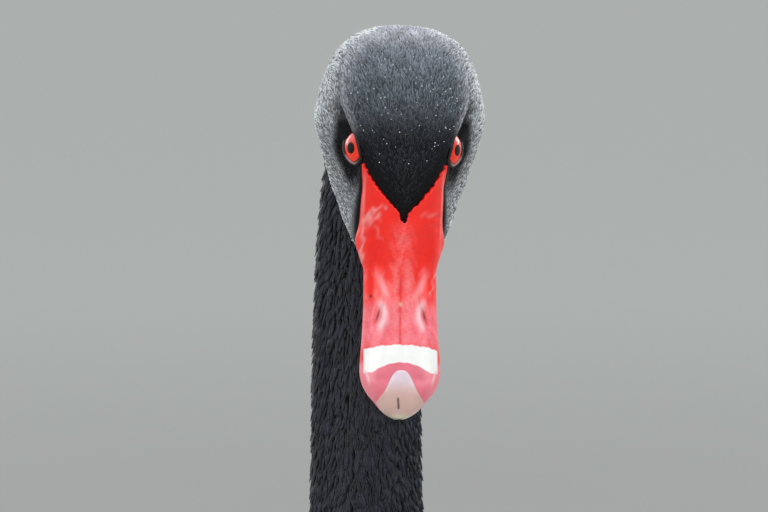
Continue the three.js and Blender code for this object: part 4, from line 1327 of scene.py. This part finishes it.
def make_tail(materials):
    rows = 12
    parts = []
    for count, spread, long, wide, start, lift in TAIL_TIERS:
        share = np.linspace(-1, 1, count)
        turn = np.radians(spread * share)
        flat = np.zeros(count)
        way = unit(np.stack([np.sin(turn), np.cos(turn), -0.1 - 0.04 * np.abs(share)], -1))
        across = np.stack([np.cos(turn), -np.sin(turn), 0.12 * share], -1)
        out = unit(np.cross(across, way))
        out = out * np.sign(out[:, 2:])
        up = unit(np.cross(out, way))
        root = TAIL_ROOT + np.stack([22 * share, flat + start, 1.2 - 4.5 * np.abs(share) + lift], -1)
        length = long * (1 - 0.22 * share**2) * RNG.uniform(0.97, 1.03, count)
        along = np.linspace(0, 1, rows) ** 0.9
        point = root[:, None] + way[:, None] * (length[:, None] * along)[..., None]
        point[..., 2] -= (lift * along**2 * 0.9)[None]
        frames = (point, np.repeat(up[:, None], rows, 1), np.repeat(out[:, None], rows, 1))
        width = wide * RNG.uniform(0.95, 1.05, count)
        rings = big_vanes(frames, width, 0.8, 1.5, RNG.uniform(0.1, 0.6, count), RNG.uniform(0, 6, count))
        place = np.stack([0.5 + 0.4 * share, flat + 0.3 + 0.01 * lift], -1)
        parts.append((rings[:, :, ::-1], vane_tint(COVERT, count, rows, 2.0)[:, :, ::-1], place))
    rings, tint, place = (np.concatenate(p) for p in zip(*parts))
    return coat_pieces("tail_feathers", rings, tint, place, materials["vane"])


# Legs and webbed feet, with places as on the left side
HEEL = np.array([58.0, 150.0, 40.0])
TOE_JOINT = np.array([80.0, 58.0, 10.0])
TOES = [((74, -26), (5.6, 3.2)), ((98, -62), (6, 3.4)), ((126, -24), (5.6, 3.2))]  # tip; radius at both ends
KNUCKLES = ((0.34, 0.06), (0.62, 0.05), (0.84, 0.045))  # shares of a toe's length, and their spread
CLAW = 9.0


def limb(path, radius):
    """A round limb along a path, flattened where it lies on the floor."""
    way = unit(np.gradient(path, axis=0))
    left = unit(np.cross(np.array([0.0, 0, 1]), way))
    up = np.cross(way, left)
    angle = turns(28)[None, :, None]
    around = left[:, None] * np.cos(angle) + up[:, None] * np.sin(angle)
    rings = path[:, None] + radius[:, None, None] * around
    rings[..., 2] = np.maximum(rings[..., 2], 0.3)
    return grid_tube(rings, rings[0].mean(0), rings[-1].mean(0))


def toe(joint, tip, radius):
    """A jointed toe and its claw."""
    t = np.linspace(0, 1, 60)
    end = np.array([*tip, radius[1] - 0.3])
    path = mix(joint, end, t[:, None])
    path[:, 2] += 1.1 * np.sin(np.pi * t)
    length = np.linalg.norm(end - joint)
    swell = 1 + 0.16 * sum(bell(t, place, wide) for place, wide in KNUCKLES)
    thick = mix(radius[0], radius[1], t) * swell * cap(t * length + 0.3, radius[0])
    thick = thick * cap((1 - t) * length + 0.3, radius[1])
    away = unit((end - joint) * [1, 1, 0])
    u = np.linspace(0, 1, 16)
    claw = end + away * ((CLAW + 4) * u - 4)[:, None]
    claw[:, 2] = end[2] + 1.3 * np.sin(np.pi * u) - (end[2] - 0.8) * u**2
    return limb(path, thick), limb(claw, 2.5 * np.sqrt(1 - 0.98 * u))


def web(joint, left, right):
    """The creased skin between two toes' tips."""
    u = np.linspace(0.06, 1, 40)[:, None, None]
    v = np.linspace(0, 1, 40)[None, :, None]
    outer = mix(np.array([*left, 0.0]), np.array([*right, 0.0]), v)
    far = (outer - joint) * 0.96 * (1 - 0.16 * np.sin(np.pi * v))
    upper = joint + far * u
    crease = 0.7 * np.sin(5 * np.pi * v) ** 2 * u + 0.3 * np.sin(26 * u + 3 * v)
    side = 1.6 * (bell(v, 0, 0.12) + bell(v, 1, 0.12))
    upper[..., 2] = (2.1 + crease + side * (1 - 0.4 * u))[..., 0]
    under = upper.copy()
    under[..., 2] = 0.4
    rings = np.concatenate([upper, under[:, ::-1]], 1)
    return grid_tube(rings, rings[0].mean(0), rings[-1].mean(0))


def make_leg(side, material):
    """A shank, and a foot of three toes with claws, webs and a short hind toe."""
    t = np.linspace(0, 1, 50)
    thick = mix(10, 7.2, t) * cap(1.02 - t, 0.08) * (1 + 0.12 * bell(t, 0.9, 0.06))
    shank = limb(mix(HEEL, TOE_JOINT, t[:, None]), thick)
    joint = TOE_JOINT + [0, -4, -3]
    parts = [piece for tip, radius in TOES for piece in toe(joint, tip, radius)]
    flat = joint * [1, 1, 0]
    parts += [web(flat, TOES[0][0], TOES[1][0]), web(flat, TOES[1][0], TOES[2][0])]
    u = np.linspace(0, 1, 20)
    spur = mix(joint + [0, 0, -2], TOE_JOINT + [-16, 20, -6], u[:, None])
    parts.append(limb(spur, mix(4, 2.4, u) * cap(1.02 - u, 0.25)))
    made = []
    for name, pieces in (("leg", [shank]), ("foot", parts)):
        points, polygons = merged(pieces)
        made.append(solid(f"{name}_{SIDES[side]}_skin", points * [side, 1, 1], polygons, material))
    return made


# Materials
def principled(name, **values):
    material = bpy.data.materials.new(name)
    material.use_nodes = True
    shader = material.node_tree.nodes["Principled BSDF"]
    for socket, value in values.items():
        shader.inputs[socket.replace("_", " ")].default_value = value
    return material, material.node_tree, shader


def node(tree, kind, links=(), **values):
    made = tree.nodes.new(kind)
    for key, value in values.items():
        if hasattr(made, key):
            setattr(made, key, value)
        else:
            made.inputs[key.replace("_", " ")].default_value = value
    for source, target in links:
        tree.links.new(source, made.inputs[target])
    return made


def tinted(name, colour_grain, relief_grain, **values):
    """The painted tint with a fine grain over it, in colour and in relief.

    colour_grain is its scale, darkest share and lightest share; relief_grain its scale, strength and metres.
    """
    grain_scale, darkest, lightest = colour_grain
    relief_scale, strength, distance = relief_grain
    material, tree, shader = principled(name, **values)
    where = node(tree, "ShaderNodeTexCoord").outputs["Object"]
    tint = node(tree, "ShaderNodeVertexColor", layer_name="tint").outputs["Color"]
    at = [(where, "Vector")]
    grain = node(tree, "ShaderNodeTexNoise", at, Scale=grain_scale, Detail=4.0, Roughness=0.6)
    spread = {"From_Min": 0.3, "From_Max": 0.7, "To_Min": darkest, "To_Max": lightest}
    level = node(tree, "ShaderNodeMapRange", [(grain.outputs["Fac"], "Value")], **spread)
    both = [(tint, 0), (level.outputs["Result"], 1)]
    scaled = node(tree, "ShaderNodeVectorMath", both, operation="MULTIPLY")
    tree.links.new(scaled.outputs["Vector"], shader.inputs["Base Color"])
    relief = node(tree, "ShaderNodeTexNoise", at, Scale=relief_scale, Detail=3.0)
    height = [(relief.outputs["Fac"], "Height")]
    push = node(tree, "ShaderNodeBump", height, Strength=strength, Distance=distance)
    tree.links.new(push.outputs["Normal"], shader.inputs["Normal"])
    return material


def make_materials():
    return {
        "velvet": tinted("velvet_plumage", (900, 0.8, 1.2), (2500, 0.2, 0.0002), Roughness=0.9,
                         Specular_IOR_Level=0.03, Sheen_Weight=0.2, Sheen_Roughness=0.5),
        "plumage": tinted("black_plumage", (500, 0.7, 1.35), (1800, 0.3, 0.0003), Roughness=0.5,
                          Specular_IOR_Level=0.4, Sheen_Weight=0.12, Sheen_Roughness=0.4),
        "vane": tinted("covert_vanes", (260, 0.75, 1.3), (1500, 0.35, 0.0004), Roughness=0.48,
                       Specular_IOR_Level=0.4, Sheen_Weight=0.08, Sheen_Roughness=0.4),
        "white": tinted("white_vanes", (260, 0.92, 1.05), (1500, 0.25, 0.0004), Roughness=0.6,
                        Specular_IOR_Level=0.3),
        "skin": tinted("skin_under_plumage", (500, 0.8, 1.2), (1500, 0.3, 0.0004), Roughness=0.75,
                       Specular_IOR_Level=0.2),
        "bill": tinted("red_horn", (190, 0.93, 1.06), (700, 0.12, 0.0004), Roughness=0.36,
                       Specular_IOR_Level=0.35, Coat_Weight=0.3, Coat_Roughness=0.12),
        "nail": tinted("pale_horn", (240, 0.94, 1.05), (900, 0.1, 0.0003), Roughness=0.34,
                       Specular_IOR_Level=0.5, Coat_Weight=0.3, Coat_Roughness=0.15),
        "eye": tinted("red_iris", (900, 0.9, 1.1), (600, 0.0, 0.0001), Roughness=0.15,
                      Specular_IOR_Level=0.2, Coat_Weight=0.2, Coat_Roughness=0.03),
        "lid": tinted("eyelid_skin", (900, 0.8, 1.15), (1600, 0.4, 0.0003), Roughness=0.45,
                      Specular_IOR_Level=0.4),
        "leg": scaly("dark_scaly_skin"),
    }


def scaly(name):
    """Dark skin in small scales, each paler in its middle."""
    material, tree, shader = principled(name, Roughness=0.5, Specular_IOR_Level=0.4)
    where = node(tree, "ShaderNodeTexCoord").outputs["Object"]
    cells = node(tree, "ShaderNodeTexVoronoi", [(where, "Vector")], feature="DISTANCE_TO_EDGE", Scale=330.0)
    shade = node(tree, "ShaderNodeValToRGB", [(cells.outputs["Distance"], "Fac")])
    shade.color_ramp.elements[0].color = (*linear(22, 20, 20), 1)
    shade.color_ramp.elements[1].color = (*linear(62, 57, 54), 1)
    shade.color_ramp.elements[1].position = 0.3
    tree.links.new(shade.outputs["Color"], shader.inputs["Base Color"])
    height = [(cells.outputs["Distance"], "Height")]
    push = node(tree, "ShaderNodeBump", height, Strength=0.7, Distance=0.0008)
    tree.links.new(push.outputs["Normal"], shader.inputs["Normal"])
    return material


# Flecks on the crown
def make_flecks(skin, material):
    """Tiny bright beads that sit among the crown's feathers."""
    s, x, h = to_head(skin.middle)
    off = face_sides(Place(skin.middle))[1]
    weight = (bareness(s, x, h) < -4) * step(off, 5, 14) * (h > 0) * step(s, -38, -26) * step(-s, -18, 8)
    root, normal = skin.roots(weight, FLECK_SPACING)
    pick = RNG.choice(len(root), FLECKS, replace=False)
    root, normal = root[pick], normal[pick]
    size = RNG.uniform(0.1, 0.22, len(root))[:, None, None, None]
    lat = np.linspace(0.25, np.pi - 0.25, 5)
    lon = turns(8)
    ball = np.stack([
        np.sin(lat)[:, None] * np.cos(lon)[None],
        np.sin(lat)[:, None] * np.sin(lon)[None],
        np.cos(lat)[:, None] + 0 * lon[None],
    ], -1)
    rings = (root + normal * FLECK_LIFT)[:, None, None] + size * ball[None]
    tint = np.broadcast_to(linear(236, 238, 240), rings.shape)
    return coat_pieces("crown_flecks", rings[:, ::-1], tint, Place(root).unwrap(), material)


# Camera, floor and light
def camera_place():
    toward = np.array([0, -math.cos(VIEW_RISE), math.sin(VIEW_RISE)])
    up = np.array([0, math.sin(VIEW_RISE), math.cos(VIEW_RISE)])
    tip = from_head(np.array(FOREHEAD_POINT), np.array(0.0), np.array(3.0))
    aside = (FOREHEAD_PIXEL[0] - PICTURE[0] / 2) * VIEW_SCALE
    lower = (FOREHEAD_PIXEL[1] - PICTURE[1] / 2) * VIEW_SCALE
    return tip + toward * VIEW_DISTANCE - np.array([1.0, 0, 0]) * aside + up * lower


def make_camera():
    data = bpy.data.cameras.new("camera")
    data.sensor_width = SENSOR
    data.lens = VIEW_DISTANCE / VIEW_SCALE * SENSOR / PICTURE[0]
    data.clip_start = 0.05
    data.clip_end = 150
    camera = bpy.data.objects.new("camera", data)
    camera.location = to_frame(camera_place())
    camera.rotation_euler = (math.pi / 2 - VIEW_RISE, 0, 0)
    bpy.context.scene.collection.objects.link(camera)
    bpy.context.scene.camera = camera


def make_stage():
    """A pale floor, wide enough to fill the picture behind the bird, with painted shade: darker near the
    middle, where the lamps are strongest, and paler far out.
    """
    turn = turns(64)
    rim = np.stack([FLOOR_REACH * np.cos(turn), FLOOR_REACH * np.sin(turn), 0 * turn], -1)
    material, tree, shader = principled("pale_floor", Roughness=0.9, Specular_IOR_Level=0.1)
    where = node(tree, "ShaderNodeTexCoord").outputs["Object"]
    away = node(tree, "ShaderNodeVectorMath", [(where, 0)], operation="LENGTH").outputs["Value"]
    # Painted shade: the floor's colour darkens towards the middle to even out the lamps' falloff
    share = node(tree, "ShaderNodeMapRange", [(away, "Value")], From_Min=0.6, From_Max=5.0)
    shade = node(tree, "ShaderNodeValToRGB", [(share.outputs["Result"], "Fac")])
    shade.color_ramp.interpolation = "EASE"
    shade.color_ramp.elements[0].color = (0.5, 0.51, 0.5, 1)
    shade.color_ramp.elements[1].color = (0.77, 0.79, 0.77, 1)
    tree.links.new(shade.outputs["Color"], shader.inputs["Base Color"])
    floor = mesh_object("floor", rim * 1000 - SHIFT, [np.arange(len(turn))[None]], material)


LIGHTS = [  # name, place and size in metres, watts, colour
    ("sky", (0.1, -0.35, 1.9), (1.7, 1.7), 15, (0.97, 0.98, 1)),
    ("front_left", (-1.2, -1.9, 1.35), (1.0, 1.2), 12, (1, 1, 1)),
    ("front_right", (1.5, -1.7, 1.1), (0.9, 1.1), 8, (1, 1, 1)),
    ("rim_left", (-1.1, 0.9, 1.25), (0.7, 1.1), 13, (1, 1, 1)),
    ("rim_right", (1.1, 0.8, 1.3), (0.7, 1.1), 13, (1, 1, 1)),
]


def make_light():
    """Soft panels that all face the head, and a pale surround."""
    for name, place, size, watts, colour in LIGHTS:
        data = bpy.data.lights.new(name, "AREA")
        data.shape = "RECTANGLE"
        data.size, data.size_y = size
        data.energy = watts
        data.color = colour
        light = bpy.data.objects.new(name, data)
        light.location = place
        way = Vector(to_frame(EYE_MIDDLE)) - Vector(place)
        light.rotation_euler = way.to_track_quat("-Z", "Y").to_euler()
        bpy.context.scene.collection.objects.link(light)
    world = bpy.data.worlds.new("studio")
    world.use_nodes = True
    world.node_tree.nodes["Background"].inputs["Color"].default_value = (0.88, 0.9, 0.9, 1)
    world.node_tree.nodes["Background"].inputs["Strength"].default_value = 0.6
    bpy.context.scene.world = world
    bpy.context.scene.view_settings.view_transform = "Standard"


# Where each coat of feathers lies, and how large its feathers are in millimetres
def upper_neck(place, points):
    return (place.neck > 0.4) * (points[:, 2] > NECK_COAT_SPLIT) * 1.0


def lower_neck(place, points):
    return (place.torso < 0.5) * (points[:, 2] <= NECK_COAT_SPLIT) * (place.head < 0.3) * 1.0


def neck_long(place):
    return mix(11, 24, step(-place.points[:, 2], -480, -200))


def neck_wide(place):
    return mix(2.5, 9, step(-place.points[:, 2], -540, -200))


def body_long(place):
    return np.full(len(place.points), BODY_FEATHER_LONG)


def body_wide(place):
    return np.full(len(place.points), BODY_FEATHER_WIDE)


def body_region(place, points):
    """The body's own feathers: none under the folded wings."""
    y, z = points[:, 1], points[:, 2]
    waist = smooth(WING_GUIDE, y)[:, 1]
    degrees = np.degrees(np.arctan2(z - waist, np.abs(points[:, 0])))
    low, high = smooth(WING_EDGE, y).T
    hidden = (y > -150) & (y < 240) & (degrees > low + 14) & (degrees < high - 9)
    return (place.torso >= 0.5) * ~hidden * 1.0


# Name, region, spacing, length, width, spread of directions, rings of each feather
COATS = [
    ("neck_coat_upper", upper_neck, NECK_UPPER_SPACING, neck_long, neck_wide, 0.2, 5),
    ("neck_coat_lower", lower_neck, NECK_LOWER_SPACING, neck_long, neck_wide, 0.14, 4),
    ("body_coat", body_region, BODY_SPACING, body_long, body_wide, 0.12, 4),
]


def build():
    make_camera()
    make_stage()
    make_light()
    materials = make_materials()
    body = make_skin()
    body.data.materials.append(materials["skin"])
    skin = Skin(body)
    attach(body, "root")
    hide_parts("torso", "neck_lower", "neck_middle", "neck_upper", "head")

    def carry(pieces, slot, *nodes):
        for piece in pieces:
            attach(piece, "root")
            if nodes:
                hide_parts(*nodes)

    carry(head_coat(skin, materials["velvet"]), "head_plumage")
    carry(make_flecks(skin, materials["eye"]), "head_plumage")
    for name, *coat in COATS:
        carry(contour_coat(name, skin, materials["plumage"], *coat), "plumage")
    for side, label in SIDES.items():
        carry([make_eye(side, materials["eye"])], "eye", f"eye_{label}")
        carry([make_lids(side, materials["lid"])], "head_plumage")
        coverts, inner = make_wing(side, materials)
        for piece in coverts:
            carry([piece], "flight_white" if "flight" in piece.name else "plumage")
        carry([inner], "plumage", f"wing_{label}")
        shank, foot = make_leg(side, materials["leg"])
        carry([shank], "bare_skin", f"leg_{label}")
        carry([foot], "bare_skin", f"foot_{label}")
    upper_horn, nail, lower_horn = make_bill(materials)
    carry([upper_horn], "bill_red", "bill_upper")
    carry([nail], "bill_pale", "bill_nail")
    carry([lower_horn], "bill_red", "bill_lower")
    carry(make_tail(materials), "plumage", "tail")


build()
bpy.context.view_layer.update()
